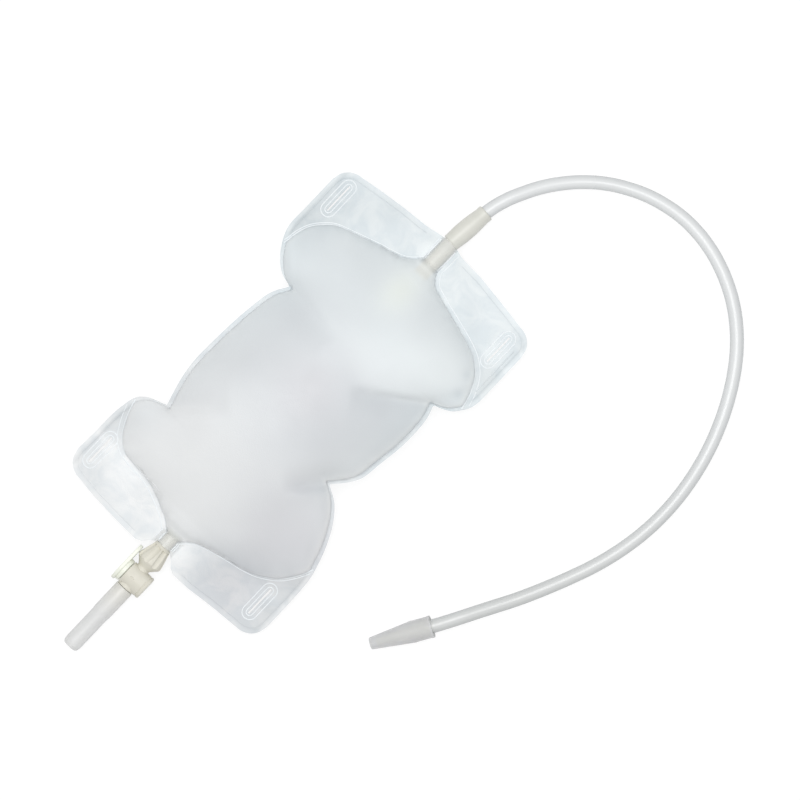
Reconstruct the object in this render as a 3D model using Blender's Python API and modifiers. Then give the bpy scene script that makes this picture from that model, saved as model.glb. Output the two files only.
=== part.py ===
# Urine drainage bag worn on the leg: two welded films, an inlet tube with its capped connector, and a lever tap.
# Metres, +Z up. The bag lies on its back: +Y points to the inlet, -Y to the tap, and z = 0 is the surface under it.
import math

import bmesh
import bpy
import numpy as np
from mathutils import Matrix, Vector

MM = 0.001

# Shared clearances
GAP = 0.3 * MM  # between touching pieces

# Films and their outline, in the bag's own frame: x across, y along, from the middle of the bag
FILM = 0.35 * MM  # thickness of each film
FLANGE_HALF = 74.2 * MM  # half the width across the strap flanges
TOP_CENTRE = 123.5 * MM  # y of the upper edge beside the inlet
TOP_CORNER = 116.5 * MM  # y of the upper edge above the slots
BOTTOM_CENTRE = -122.0 * MM
BOTTOM_CORNER = -117.5 * MM
CORNER_RADIUS = 12.0 * MM
SEAM = 3.0 * MM  # welded margin along the sides of the chamber
WAIST_BULGE = 8.6 * MM  # how far the middle lobe swells past the line between its crimps
# Each shoulder runs from its crimp (x, y) to the level where the side is straight, as a rounded quarter of this power
TOP_LEFT = {"crimp": (-49.0 * MM, 43.0 * MM), "level": 67.0 * MM, "power": 1.55}
TOP_RIGHT = {"crimp": (56.0 * MM, 50.0 * MM), "level": 68.0 * MM, "power": 1.65}
BOTTOM_LEFT = {"crimp": (-53.5 * MM, -54.0 * MM), "level": -82.0 * MM, "power": 2.1}
BOTTOM_RIGHT = {"crimp": (44.0 * MM, -23.0 * MM), "level": -85.0 * MM, "power": 1.7}
RECESS_MARGIN = 5.6 * MM  # the recess in the lower edge is this much wider than the tap's collar, on each side

# Weld line at the ends of the chamber, in millimetres, from the sides to the port. Past the strap slot its points
# keep their distance from the flange's side, as (distance, y), and where it turns in they are (half width, y).
PAST_TOP_SLOT = [(6.2, 58.0), (9.7, 75.5), (16.7, 84.5), (25.2, 88.0)]
TOP_TURN_IN = [(29.0, 94.5), (10.0, 101.5)]
PAST_BOTTOM_SLOT = [(5.2, -62.0), (8.7, -77.0), (15.2, -85.5), (24.2, -90.5)]
BOTTOM_TURN_IN = [(29.0, -94.0), (10.0, -101.5)]
TOP_WELD = [(FLANGE_HALF / MM - x, y) for x, y in PAST_TOP_SLOT] + TOP_TURN_IN
BOTTOM_WELD = [(FLANGE_HALF / MM - x, y) for x, y in PAST_BOTTOM_SLOT] + BOTTOM_TURN_IN
NECK = 5.0 * MM  # length of the chamber's taper into each port's sleeve
WELD = 1.5 * MM  # width of the weld line

# Height of the inflated films
CROWN = 24.6 * MM  # inner height of the middle lobe, above and below the weld
SHOULDER_CROWN = 21.5 * MM
SHOULDER = 62.0 * MM  # y of the shoulders' highest place
END_CROWN = 12.5 * MM  # inner height where the weld line turns in to the port
END = 90.0 * MM
LEAN = 1.3  # the shoulders' sides are leaner than an ellipse by this power
MIDDLE_LEVEL = 22.5 * MM  # z of the weld at the middle of the bag
FLOOR_CLEAR = 0.65 * MM  # between the lever's tail, turned down, and the surface
FLAT_FROM = 92.0 * MM  # |y| from which the flanges lie level
# Soft folds that run in from the crimps: heading in degrees, length, width and depth as a share of the height
FOLDS = [
    (TOP_LEFT, -38.0, 44.0 * MM, 6.5 * MM, 0.26),
    (TOP_RIGHT, -139.0, 52.0 * MM, 7.0 * MM, 0.34),
    (BOTTOM_LEFT, 28.0, 40.0 * MM, 6.5 * MM, 0.24),
    (BOTTOM_RIGHT, -128.0, 34.0 * MM, 7.0 * MM, 0.36),
]

# Strap flanges, where both films are welded into one, with a slot in each
FLANGE_FROM = 50.0 * MM  # |y| below which there is no flange
SLOT_WIDTH = 6.0 * MM
SLOT_LENGTH = 22.0 * MM
SLOT_INSET = 11.2 * MM  # from the flange's side to the slot's middle
SLOT_Y = 99.0 * MM

# Inlet port, a sleeve welded between the films, and the film valve below it
INLET_RADIUS = 4.7 * MM
INLET_WALL = 1.0 * MM
INLET_REACH = 3.5 * MM  # length of the port inside the chamber
INLET_PROUD = 2.5 * MM  # length outside the films
VALVE_FILM = 0.25 * MM
VALVE_GRIP = 5.0 * MM  # length of valve round the port
VALVE_LENGTH = 35.0 * MM
VALVE_HALF = 8.0 * MM  # half the width of its flat lower end
VALVE_SLIT = 0.5 * MM  # half the opening of that end

# Coupling between the port and the inlet tube
COUPLING_RADIUS = 5.75 * MM
COUPLING_LENGTH = 24.0 * MM
COUPLING_NOSE = 4.5 * MM  # length of its nose inside the port
COUPLING_NOSE_RADIUS = 3.1 * MM
COUPLING_BORE = 2.2 * MM
COUPLING_LEAN = 6.0  # degrees towards +X
COUPLING_CHAMFER = 0.7 * MM
TUBE_GRIP = 12.0 * MM  # length of tube held in the coupling, and in the connector's socket

# Inlet tube, a free hose on the surface under the bag
TUBE_RADIUS = 4.0 * MM
TUBE_REST = TUBE_RADIUS + 0.1 * MM  # z of its centreline where it lies
# Route through (x, y, height above its rest) in millimetres, in the bag's own frame, between its two sockets
TUBE_ROUTE = [
    (4.6, 159.5, 4.6),
    (8.2, 168.5, 3.9),
    (13.6, 179.5, 2.7),
    (22.6, 192.5, 1.3),
    (38.5, 208.0, 0.2),
    (61.0, 220.3, 0.0),
    (83.7, 225.4, 0.0),
    (102.0, 224.8, 0.0),
    (120.5, 220.0, 0.0),
    (141.0, 209.4, 0.0),
    (159.8, 192.4, 0.0),
    (175.5, 169.2, 0.0),
    (187.0, 142.0, 0.0),
    (193.0, 115.0, 0.0),
    (194.2, 90.2, 0.0),
    (191.8, 69.0, 0.0),
    (186.6, 48.5, 0.0),
    (178.0, 26.1, 0.0),
    (167.6, 3.6, 0.4),
    (157.0, -15.5, 2.4),
    (149.3, -29.5, 4.2),
]
TUBE_STEP = 20.0 * MM  # length of tube for each point of its spline

# Catheter connector in its protective cap, on the tube's far end
CONNECTOR_AT = (142.3 * MM, -42.0 * MM)  # centre of the cap's mouth
CONNECTOR_HEADING = 239.5  # degrees from +X
SOCKET_INSET = 1.5 * MM  # the socket's face lies this far inside the cap's mouth
SOCKET_WALL = 1.0 * MM
SOCKET_LENGTH = 8.5 * MM
SOCKET_FLOOR = 1.2 * MM  # wall between the socket and the nozzle
NOZZLE_ROOT = 4.1 * MM
NOZZLE_TIP = 2.3 * MM
NOZZLE_STEPS = 3
NOZZLE_LENGTH = 22.0 * MM
NOZZLE_BORE = 1.5 * MM
CAP_LENGTH = 37.0 * MM
CAP_WALL = 0.8 * MM
CAP_TIP = 3.55 * MM  # outer radius of its closed end
CAP_ROUND = 0.7 * MM

# Outlet port
OUTLET_RADIUS = 4.0 * MM
OUTLET_WALL = 1.1 * MM
OUTLET_SHORT = 1.5 * MM  # the port ends this far from the chamber

# Tap body, along -Y from the collar's mouth
COLLAR_INSET = 8.0 * MM  # how far the collar reaches into the recess in the films' edge
COLLAR_MOUTH = 5.0 * MM
COLLAR_STEP = 6.1 * MM
COLLAR_RADIUS = 7.9 * MM
COLLAR_LENGTH = 17.0 * MM
SOCKET_DEPTH = 12.0 * MM  # length of outlet port inside the collar
NECK_RADIUS = 4.0 * MM
FLOW_BORE = 2.0 * MM
BARREL_AT = 24.65 * MM  # from the collar's mouth to the barrel's axis
BARREL_RADIUS = 7.35 * MM
BARREL_LEFT = -5.5 * MM
BARREL_RIGHT = 9.3 * MM
BARREL_ROUND = 1.2 * MM
SPIGOT_RADIUS = 3.5 * MM
SPIGOT_END = 51.0 * MM  # from the collar's mouth
SPIGOT_BARB = 0.25 * MM

# Lever and plug, one moulding that turns in the barrel
PLUG_RADIUS = 4.5 * MM
PLUG_BORE = 1.9 * MM
HEAD_RADIUS = 5.1 * MM  # snap head that keeps the plug in
HEAD_THICK = 1.5 * MM
HUB_RADIUS = 7.2 * MM
LEVER_THICK = 2.1 * MM
LEVER_REACH = 16.65 * MM  # long arm, towards the bag
LEVER_TAIL = 8.35 * MM
LEVER_HALF = 4.6 * MM
LEVER_TIP_CLEAR = 1.5 * MM  # between the lever's tip and the films

# Soft spout pushed over the spigot
SPOUT_WALL = 1.8 * MM
SPOUT_SLIM = 0.3 * MM  # the free end is slimmer than the stretched one by this much
SPOUT_LENGTH = 45.7 * MM
SPOUT_MOUTH = 3.05 * MM
SPOUT_NOSE = 4.0 * MM  # length of its rounded end

# Facets
ROUND_STEPS = 24
CHAMBER_COLUMNS = 18
ARC_POINTS = 7

# Worked out from the sizes above
PORT_LEVEL = FLOOR_CLEAR + max(LEVER_TAIL, BARREL_RADIUS, COLLAR_RADIUS)  # z of the ports' axes and of the flanges
INLET_BORE = INLET_RADIUS - INLET_WALL
INLET_SLEEVE = INLET_RADIUS + GAP  # inner radius of the films round the inlet port
INLET_FROM = TOP_WELD[-1][1] * MM - INLET_REACH
INLET_TO = TOP_CENTRE + INLET_PROUD
OUTLET_SLEEVE = OUTLET_RADIUS + GAP
OUTLET_FROM = BOTTOM_WELD[-1][1] * MM - OUTLET_SHORT
COLLAR_FROM = BOTTOM_CENTRE + COLLAR_INSET
TAP_Y = COLLAR_FROM - BARREL_AT
LEVER_INNER = -(COLLAR_RADIUS + GAP)  # the lever swings just clear of the collar
SPOUT_FROM = TAP_Y - BARREL_RADIUS - GAP
CAP_RADIUS = TUBE_RADIUS + GAP + SOCKET_WALL + GAP + CAP_WALL
CAP_SKIRT = SOCKET_INSET + SOCKET_LENGTH + SOCKET_FLOOR
LEAN_TURN = math.radians(COUPLING_LEAN)
COUPLING_RIM = (COUPLING_RADIUS - COUPLING_CHAMFER) * math.sin(LEAN_TURN)
COUPLING_END = INLET_TO + GAP + COUPLING_LENGTH * math.cos(LEAN_TURN) + COUPLING_RIM
BAG_Y = -(COUPLING_END + SPOUT_FROM - SPOUT_LENGTH) / 2  # puts the middle of the whole length at y = 0
SHEET_HALF = FLANGE_HALF + 4 * MM
SHEET_END = max(TOP_CENTRE, -BOTTOM_CENTRE) + 5 * MM


def clear_scene():
    for obj in list(bpy.data.objects):
        bpy.data.objects.remove(obj, do_unlink=True)


def new_collection(name):
    collection = bpy.data.collections.new(name)
    bpy.context.scene.collection.children.link(collection)
    return collection


def material(name, colour, roughness, alpha=1.0):
    mat = bpy.data.materials.new(name)
    mat.use_nodes = True
    shader = mat.node_tree.nodes["Principled BSDF"]
    shader.inputs["Base Color"].default_value = (*colour, 1.0)
    shader.inputs["Roughness"].default_value = roughness
    shader.inputs["Metallic"].default_value = 0.0
    shader.inputs["Alpha"].default_value = alpha
    return mat


def add(name, mesh, mat, location=(0, 0, 0), rotation=(0, 0, 0)):
    """Puts a mesh in the bag's collection, in the frame of the bag's middle."""
    obj = bpy.data.objects.new(name, mesh)
    parts.objects.link(obj)
    obj.parent = bag
    obj.location = location
    obj.rotation_euler = rotation
    mesh.materials.append(mat)
    return obj


def add_cutter(name, mesh, location=(0, 0, 0), rotation=(0, 0, 0)):
    obj = bpy.data.objects.new(name, mesh)
    cutters.objects.link(obj)
    obj.parent = bag
    obj.location = location
    obj.rotation_euler = rotation
    obj.hide_render = True
    obj.display_type = "WIRE"
    return obj


def boolean(obj, cutter, operation="DIFFERENCE"):
    modifier = obj.modifiers.new(cutter.name, "BOOLEAN")
    modifier.operation = operation
    modifier.object = cutter
    modifier.solver = "EXACT"


def mesh_of(name, points, edges=(), faces=()):
    mesh = bpy.data.meshes.new(name)
    mesh.from_pydata([tuple(p) for p in points], list(edges), list(faces))
    return mesh


def lathe(obj):
    """Turns an object's profile about its own Z axis."""
    screw = obj.modifiers.new("Turn", "SCREW")
    screw.axis = "Z"
    screw.angle = 2 * math.pi
    screw.steps = ROUND_STEPS
    screw.render_steps = ROUND_STEPS
    screw.use_merge_vertices = True
    screw.merge_threshold = 0.00001
    screw.use_smooth_shade = True


def profile_mesh(name, profile, ring):
    """A turned piece's half section as (radius, height), down its outer side; a ring closes on itself."""
    count = len(profile)
    edges = [(i, i + 1) for i in range(count - 1)] + ([(count - 1, 0)] if ring else [])
    return mesh_of(name, [(r, 0, z) for r, z in profile], edges)


def turned(name, profile, mat, location, rotation, ring=True):
    obj = add(name, profile_mesh(name, profile, ring), mat, location, rotation)
    lathe(obj)
    return obj


def turned_cutter(name, profile, location, rotation):
    obj = add_cutter(name, profile_mesh(name, profile, False), location, rotation)
    lathe(obj)
    return obj


def rod(radius, low, high):
    """Half section of a plain rod, top to bottom."""
    return [(0, high), (radius, high), (radius, low), (0, low)]


def arc(cx, cy, radius, start, end, count=ARC_POINTS):
    """Points of a round stretch, angles in degrees."""
    angles = np.radians(np.linspace(start, end, count))
    return [(cx + radius * math.cos(a), cy + radius * math.sin(a)) for a in angles]


def smooth_curve(points, step, first=0.0, last=0.0):
    """Points about step apart on a smooth curve through the given ones (centripetal Catmull-Rom), with
    straight stretches of the given lengths at its two ends."""
    p = [Vector(q) for q in points]
    p = [p[0] * 2 - p[1]] + p + [p[-1] * 2 - p[-2]]
    dense = []
    for a, b, c, d in zip(p, p[1:], p[2:], p[3:]):
        ta, tb = 0.0, math.sqrt((b - a).length)
        tc = tb + math.sqrt((c - b).length)
        td = tc + math.sqrt((d - c).length)
        for t in np.linspace(tb, tc, 24, endpoint=False):
            ab = a.lerp(b, (t - ta) / (tb - ta))
            bc = b.lerp(c, (t - tb) / (tc - tb))
            cd = c.lerp(d, (t - tc) / (td - tc))
            abc = ab.lerp(bc, (t - ta) / (tc - ta))
            bcd = bc.lerp(cd, (t - tb) / (td - tb))
            dense.append(abc.lerp(bcd, (t - tb) / (tc - tb)))
    dense.append(p[-2])
    line = np.array([tuple(q) for q in dense])
    along = np.concatenate([[0], np.cumsum(np.linalg.norm(np.diff(line, axis=0), axis=1))])
    free = along[-1] - first - last
    at = first + np.linspace(0, free, max(2, round(free / step) + 1))
    at = np.unique([0, *at, along[-1]])
    return np.stack([np.interp(at, along, line[:, k]) for k in range(line.shape[1])], axis=1)


def mesh_from_curve(name, curve):
    """A curve's mesh with its caps welded; the curve is removed."""
    source = bpy.data.objects.new(name + "_curve", curve)
    cutters.objects.link(source)
    evaluated = source.evaluated_get(bpy.context.evaluated_depsgraph_get())
    mesh = bpy.data.meshes.new_from_object(evaluated)
    mesh.name = name
    bpy.data.objects.remove(source, do_unlink=True)
    bpy.data.curves.remove(curve)
    bm = bmesh.new()
    bm.from_mesh(mesh)
    bmesh.ops.remove_doubles(bm, verts=bm.verts, dist=0.000001)
    bm.to_mesh(mesh)
    bm.free()
    return mesh


def plate_mesh(name, outline, thickness):
    """A flat plate about z = 0 with the given outline, as a filled and extruded flat curve."""
    curve = bpy.data.curves.new(name, "CURVE")
    curve.dimensions = "2D"
    curve.fill_mode = "BOTH"
    curve.extrude = thickness / 2
    spline = curve.splines.new("POLY")
    spline.points.add(len(outline) - 1)
    for point, (x, y) in zip(spline.points, outline):
        point.co = (x, y, 0, 1)
    spline.use_cyclic_u = True
    return mesh_from_curve(name, curve)


def slot_outline(width, length):
    """A slot with round ends, its long side along y."""
    r = width / 2
    upper = arc(0, length / 2 - r, r, 0, 180)
    lower = arc(0, r - length / 2, r, 180, 360)
    return upper + lower


# The bag's outline


def shoulder_edge(shoulder, count=12):
    """Points from the straight side in to the crimp, on a rounded quarter."""
    crimp_x, crimp_y = shoulder["crimp"]
    side_x = math.copysign(FLANGE_HALF, crimp_x)
    points = []
    for turn in np.linspace(0, math.pi / 2, count):
        out = math.cos(turn) ** (2 / shoulder["power"])
        along = math.sin(turn) ** (2 / shoulder["power"])
        x = crimp_x + (side_x - crimp_x) * out
        y = shoulder["level"] + (crimp_y - shoulder["level"]) * along
        points.append((x, y))
    return points


def waist_edge(upper, lower, count=14):
    """Points of the middle lobe's side between its two crimps, crimps left out."""
    (x0, y0), (x1, y1) = upper["crimp"], lower["crimp"]
    outward = math.copysign(WAIST_BULGE, x0)
    points = []
    for turn in np.linspace(math.pi, 0, count)[1:-1]:
        t = (1 - math.cos(turn)) / 2
        x = x1 + (x0 - x1) * (1 - t)
        y = y1 + (y0 - y1) * (1 - t)
        points.append((x + outward * math.sin(turn), y))
    return sorted(points, key=lambda p: -p[1])


def side_edge(upper, lower):
    """One side of the bag from the upper flange's straight side to the lower one's, top to bottom."""
    return shoulder_edge(upper) + waist_edge(upper, lower) + shoulder_edge(lower)[::-1]


def bag_outline():
    """The whole cut edge of the films, clockwise from the upper left corner."""
    r = CORNER_RADIUS
    inner = FLANGE_HALF - r
    top = arc(-inner, TOP_CORNER - r, r, 180, 96)
    top += [(-0.5 * inner, TOP_CORNER + 0.62 * (TOP_CENTRE - TOP_CORNER)), (-NECK, TOP_CENTRE)]
    top += [(NECK, TOP_CENTRE), (0.5 * inner, TOP_CORNER + 0.62 * (TOP_CENTRE - TOP_CORNER))]
    top += arc(inner, TOP_CORNER - r, r, 84, 0)
    bottom = arc(inner, BOTTOM_CORNER + r, r, 0, -86)
    bottom += [(0.5 * inner, BOTTOM_CORNER + 0.75 * (BOTTOM_CENTRE - BOTTOM_CORNER))]
    # the recess follows the collar's flare up to the port
    clear_of_tip = max(BOTTOM_CENTRE + 2.2 * MM, TAP_Y + LEVER_REACH + LEVER_TIP_CLEAR)
    recess = [
        (COLLAR_RADIUS + RECESS_MARGIN, BOTTOM_CENTRE),
        (COLLAR_RADIUS + LEVER_THICK + 0.6 * MM, clear_of_tip),
        (COLLAR_RADIUS + 0.6 * MM, COLLAR_FROM - 3.4 * MM),
        (COLLAR_STEP + 0.6 * MM, COLLAR_FROM - 0.6 * MM),
        (COLLAR_MOUTH, COLLAR_FROM + GAP),
    ]
    bottom += recess + [(-x, y) for x, y in recess[::-1]]
    bottom += [(-0.5 * inner, BOTTOM_CORNER + 0.75 * (BOTTOM_CENTRE - BOTTOM_CORNER))]
    bottom += arc(-inner, BOTTOM_CORNER + r, r, -94, -180)
    return top + side_edge(TOP_RIGHT, BOTTOM_RIGHT) + bottom + side_edge(TOP_LEFT, BOTTOM_LEFT)[::-1]


# The inflated form


def weld_half(weld, sleeve, y):
    """Half width of the chamber at y, from its weld line at one end down to the port's sleeve."""
    line = [(x * MM, level * MM) for x, level in weld]
    line.append((sleeve, line[-1][1] + math.copysign(NECK, line[-1][1])))
    line.sort(key=lambda p: abs(p[1]))
    return float(np.interp(abs(y), [abs(p[1]) for p in line], [p[0] for p in line]))


def chamber_edges(y):
    """The chamber's left and right edge at y."""
    weld = weld_half(TOP_WELD, INLET_SLEEVE, y) if y > 0 else weld_half(BOTTOM_WELD, OUTLET_SLEEVE, y)
    edges = []
    for upper, lower in ((TOP_LEFT, BOTTOM_LEFT), (TOP_RIGHT, BOTTOM_RIGHT)):
        side = side_edge(upper, lower)[::-1]
        outer = abs(float(np.interp(y, [p[1] for p in side], [p[0] for p in side])))
        edges.append(min(weld, outer - SEAM))
    return -edges[0], edges[1]


def weld_outline(grown):
    """Outer side of the weld line, round both ends, with the bag's whole width between them."""
    points = []
    for sign, weld, sleeve in ((1, TOP_WELD, INLET_SLEEVE), (-1, BOTTOM_WELD, OUTLET_SLEEVE)):
        line = [(x * MM, y * MM) for x, y in weld]
        neck = abs(line[-1][1])
        line = [(SHEET_HALF, line[0][1] * 0.9)] + line
        line += [(sleeve, sign * (neck + NECK)), (sleeve, sign * SHEET_END)]
        right = []
        for i, (x, y) in enumerate(line):
            # each point moves out square to the line through its neighbours
            (x0, y0), (x1, y1) = line[max(i - 1, 0)], line[min(i + 1, len(line) - 1)]
            run = math.hypot(x1 - x0, y1 - y0)
            right.append((x + grown * abs(y1 - y0) / run, y + sign * grown * abs(x1 - x0) / run))
        end = right + [(-x, y) for x, y in right[::-1]]
        points += end if sign > 0 else end[::-1]
    return points


def crown(y):
    """Inner height of the chamber at y, above the weld."""
    weld, sleeve = (TOP_WELD, INLET_SLEEVE) if y > 0 else (BOTTOM_WELD, OUTLET_SLEEVE)
    neck = abs(weld[-1][1]) * MM
    levels = [0, SHOULDER, END, neck, neck + NECK]
    heights = [CROWN, SHOULDER_CROWN, END_CROWN, sleeve + 1.6 * MM, sleeve]
    fine = smooth_curve([(a, b, 0) for a, b in zip(levels[:4], heights[:4])], 1.5 * MM)
    return float(np.interp(abs(y), [*fine[:, 0], levels[4]], [*fine[:, 1], heights[4]]))


def lean(y):
    """Power of the section's sides: round at the waist and the ports, leaner at the shoulders."""
    return float(np.interp(abs(y), [0.7 * SHOULDER, SHOULDER, END - 4 * MM, END + 8 * MM], [1, LEAN, LEAN, 1]))


def weld_level(y):
    """z of the weld at y: high in the middle of the bag, level at both ends."""
    t = min(abs(y) / FLAT_FROM, 1)
    return PORT_LEVEL + (MIDDLE_LEVEL - PORT_LEVEL) * (1 - t**3) ** 1.5


def fold_share(x, y):
    """Share of the height that is left where the folds run in from the crimps."""
    share = 1.0
    for shoulder, heading, length, width, depth in FOLDS:
        dx, dy = x - shoulder["crimp"][0], y - shoulder["crimp"][1]
        way = (math.cos(math.radians(heading)), math.sin(math.radians(heading)))
        along = dx * way[0] + dy * way[1]
        off = dx * way[1] - dy * way[0]
        reach = min(max(1 - along / length, 0), 1)
        share -= depth * reach * math.exp(-((off / width) ** 2))
    return share


def film_rows():
    """The y of each section: close together where the weld line turns in, and one at each crimp."""
    crimps = [s["crimp"][1] for s in (TOP_LEFT, TOP_RIGHT, BOTTOM_LEFT, BOTTOM_RIGHT)]
    rows = [-SHEET_END, SHEET_END, *crimps]
    for weld, sign in ((TOP_WELD, 1), (BOTTOM_WELD, -1)):
        neck = abs(weld[-1][1]) * MM
        rows += [sign * (neck + NECK), sign * (neck + NECK / 2)]
        rows += [sign * y for y in np.linspace(neck, END - 4 * MM, 6)]
        rows += [sign * y for y in np.linspace(END - 9 * MM, SHOULDER, 4)]
    rows += list(np.linspace(-SHOULDER, SHOULDER, 17)[1:-1])
    kept = []
    for y in sorted(rows):
        if not kept or y - kept[-1] > 1.6 * MM:
            kept.append(y)
        elif y in crimps:
            kept[-1] = y
    return kept


def film(name, side, mat):
    """One film: sections lofted along the bag, thickened outwards, then cut to the outline."""
    points = []
    rows = film_rows()
    turns = [math.pi * i / CHAMBER_COLUMNS for i in range(CHAMBER_COLUMNS + 1)]
    for y in rows:
        left, right = chamber_edges(y)
        middle, half = (left + right) / 2, (right - left) / 2
        xs = [-SHEET_HALF] + [middle - half * math.cos(t) for t in turns] + [SHEET_HALF]
        rises = [0] + [max(math.sin(t), 0) ** lean(y) * crown(y) for t in turns] + [0]
        for x, rise in zip(xs, rises):
            z = weld_level(y) + side * (GAP / 2 + rise * fold_share(x, y))
            points.append((x, y, z if side > 0 else max(z, FILM)))
    columns = CHAMBER_COLUMNS + 3
    faces = []
    for i in range(len(rows) - 1):
        for j in range(columns - 1):
            a = i * columns + j
            face = (a, a + 1, a + 1 + columns, a + columns)
            faces.append(face if side > 0 else face[::-1])
    mesh = mesh_of(name, points, faces=faces)
    mesh.shade_smooth()
    obj = add(name, mesh, mat)
    wall = obj.modifiers.new("Film", "SOLIDIFY")
    wall.thickness = FILM
    wall.offset = 1
    boolean(obj, outline_cutter, "INTERSECT")
    boolean(obj, chamber_cutter, "INTERSECT")
    return obj


def strap_flange(name, across, along, mat):
    """One corner of the bag outside the weld line, as thick as both films, with its slot."""
    levels = [*np.linspace(FLANGE_FROM, FLAT_FROM, 12), SHEET_END]
    points = []
    for y in levels:
        points += [(across * x, along * y, weld_level(y)) for x in (0, SHEET_HALF)]
    faces = []
    for i in range(len(levels) - 1):
        face = (2 * i, 2 * i + 1, 2 * i + 3, 2 * i + 2)
        faces.append(face if across * along > 0 else face[::-1])
    obj = add(name, mesh_of(name, points, faces=faces), mat)
    wall = obj.modifiers.new("Films", "SOLIDIFY")
    wall.thickness = 2 * FILM + GAP
    wall.offset = 0
    boolean(obj, outline_cutter, "INTERSECT")
    boolean(obj, flange_cutter)
    slot = plate_mesh("strap_slot", slot_outline(SLOT_WIDTH, SLOT_LENGTH), 0.2)
    at = (across * (FLANGE_HALF - SLOT_INSET), along * SLOT_Y, 0)
    boolean(obj, add_cutter(name + "_slot", slot, at))
    return obj


# The valve


def valve(name, mat):
    """A flat film sleeve: round where it holds the port, pressed to a slit at its lower end."""
    count = 28
    top_radius = INLET_RADIUS + GAP
    levels = np.linspace(0, 1, 9)
    held = VALVE_GRIP / VALVE_LENGTH
    points = []
    for t in levels:
        y = INLET_FROM + VALVE_GRIP - VALVE_LENGTH * t
        flat = max(0.0, (t - held) / (1 - held))
        flat = flat * flat * (3 - 2 * flat)
        half_x = top_radius + (VALVE_HALF - top_radius) * flat
        half_z = top_radius + (VALVE_SLIT - top_radius) * flat
        for k in range(count):
            a = 2 * math.pi * k / count
            points.append((half_x * math.cos(a), y, weld_level(y) + half_z * math.sin(a)))
    faces = []
    for i in range(len(levels) - 1):
        for k in range(count):
            a, b = i * count + k, i * count + (k + 1) % count
            faces.append((a, b, b + count, a + count))
    mesh = mesh_of(name, points, faces=faces)
    mesh.shade_smooth()
    obj = add(name, mesh, mat)
    wall = obj.modifiers.new("Film", "SOLIDIFY")
    wall.thickness = VALVE_FILM
    wall.offset = 1
    return obj


# Inlet


ALONG_UP = (math.radians(-90), 0, 0)  # turns a lathe's Z to +Y
ALONG_DOWN = (math.radians(90), 0, 0)  # turns a lathe's Z to -Y


def crosswise(steps):
    """Turns a lathe's Z to +X, and its facets by a share of a step, so that they cross others cleanly."""
    turn = Matrix.Rotation(steps * 2 * math.pi / ROUND_STEPS, 4, "X")
    return (turn @ Matrix.Rotation(math.radians(90), 4, "Y")).to_euler()


def inlet_port(mat):
    length = INLET_TO - INLET_FROM
    chamfer = 0.4 * MM
    profile = [
        (INLET_BORE, length),
        (INLET_RADIUS - chamfer, length),
        (INLET_RADIUS, length - chamfer),
        (INLET_RADIUS, chamfer),
        (INLET_RADIUS - chamfer, 0),
        (INLET_BORE, 0),
    ]
    return turned("inlet_port", profile, mat, (0, INLET_FROM, PORT_LEVEL), ALONG_UP)


def coupling_matrix():
    """The coupling's frame: its Z runs out along the tube from the port's end."""
    along = Matrix.Rotation(math.radians(-90), 4, "X")
    return Matrix.Translation((0, INLET_TO + GAP, PORT_LEVEL)) @ Matrix.Rotation(-LEAN_TURN, 4, "Z") @ along


def tube_coupling(mat):
    socket = TUBE_RADIUS + GAP
    chamfer = COUPLING_CHAMFER
    lip = 0.35 * MM
    profile = [
        (socket, COUPLING_LENGTH),
        (COUPLING_RADIUS - chamfer, COUPLING_LENGTH),
        (COUPLING_RADIUS, COUPLING_LENGTH - chamfer),
        (COUPLING_RADIUS, COUPLING_LENGTH - 3 * MM),
        (COUPLING_RADIUS - lip, COUPLING_LENGTH - 3.6 * MM),
        (COUPLING_RADIUS - lip, 3.6 * MM),
        (COUPLING_RADIUS, 3 * MM),
        (COUPLING_RADIUS, chamfer),
        (COUPLING_RADIUS - chamfer, 0.35 * MM),
        (COUPLING_NOSE_RADIUS, 0.35 * MM),
        (COUPLING_NOSE_RADIUS, -COUPLING_NOSE + lip),
        (COUPLING_NOSE_RADIUS - lip, -COUPLING_NOSE),
        (COUPLING_BORE, -COUPLING_NOSE),
        (COUPLING_BORE, COUPLING_LENGTH - TUBE_GRIP - GAP),
        (socket, COUPLING_LENGTH - TUBE_GRIP - GAP),
    ]
    frame = coupling_matrix()
    obj = turned("tube_coupling", profile, mat, frame.translation, frame.to_euler())
    return obj


# Connector and cap


def connector_matrix():
    """Frame at the centre of the cap's mouth: its Z runs to the tip, and the cap lies on its side."""
    pitch = math.atan((CAP_RADIUS - CAP_TIP) / (CAP_LENGTH - CAP_ROUND - CAP_SKIRT))
    level = CAP_SKIRT * math.sin(pitch) + CAP_RADIUS * math.cos(pitch)
    heading = Matrix.Rotation(math.radians(CONNECTOR_HEADING), 4, "Z")
    fall = Matrix.Rotation(math.radians(90) + pitch, 4, "Y")
    return Matrix.Translation((*CONNECTOR_AT, level)) @ heading @ fall


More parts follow.
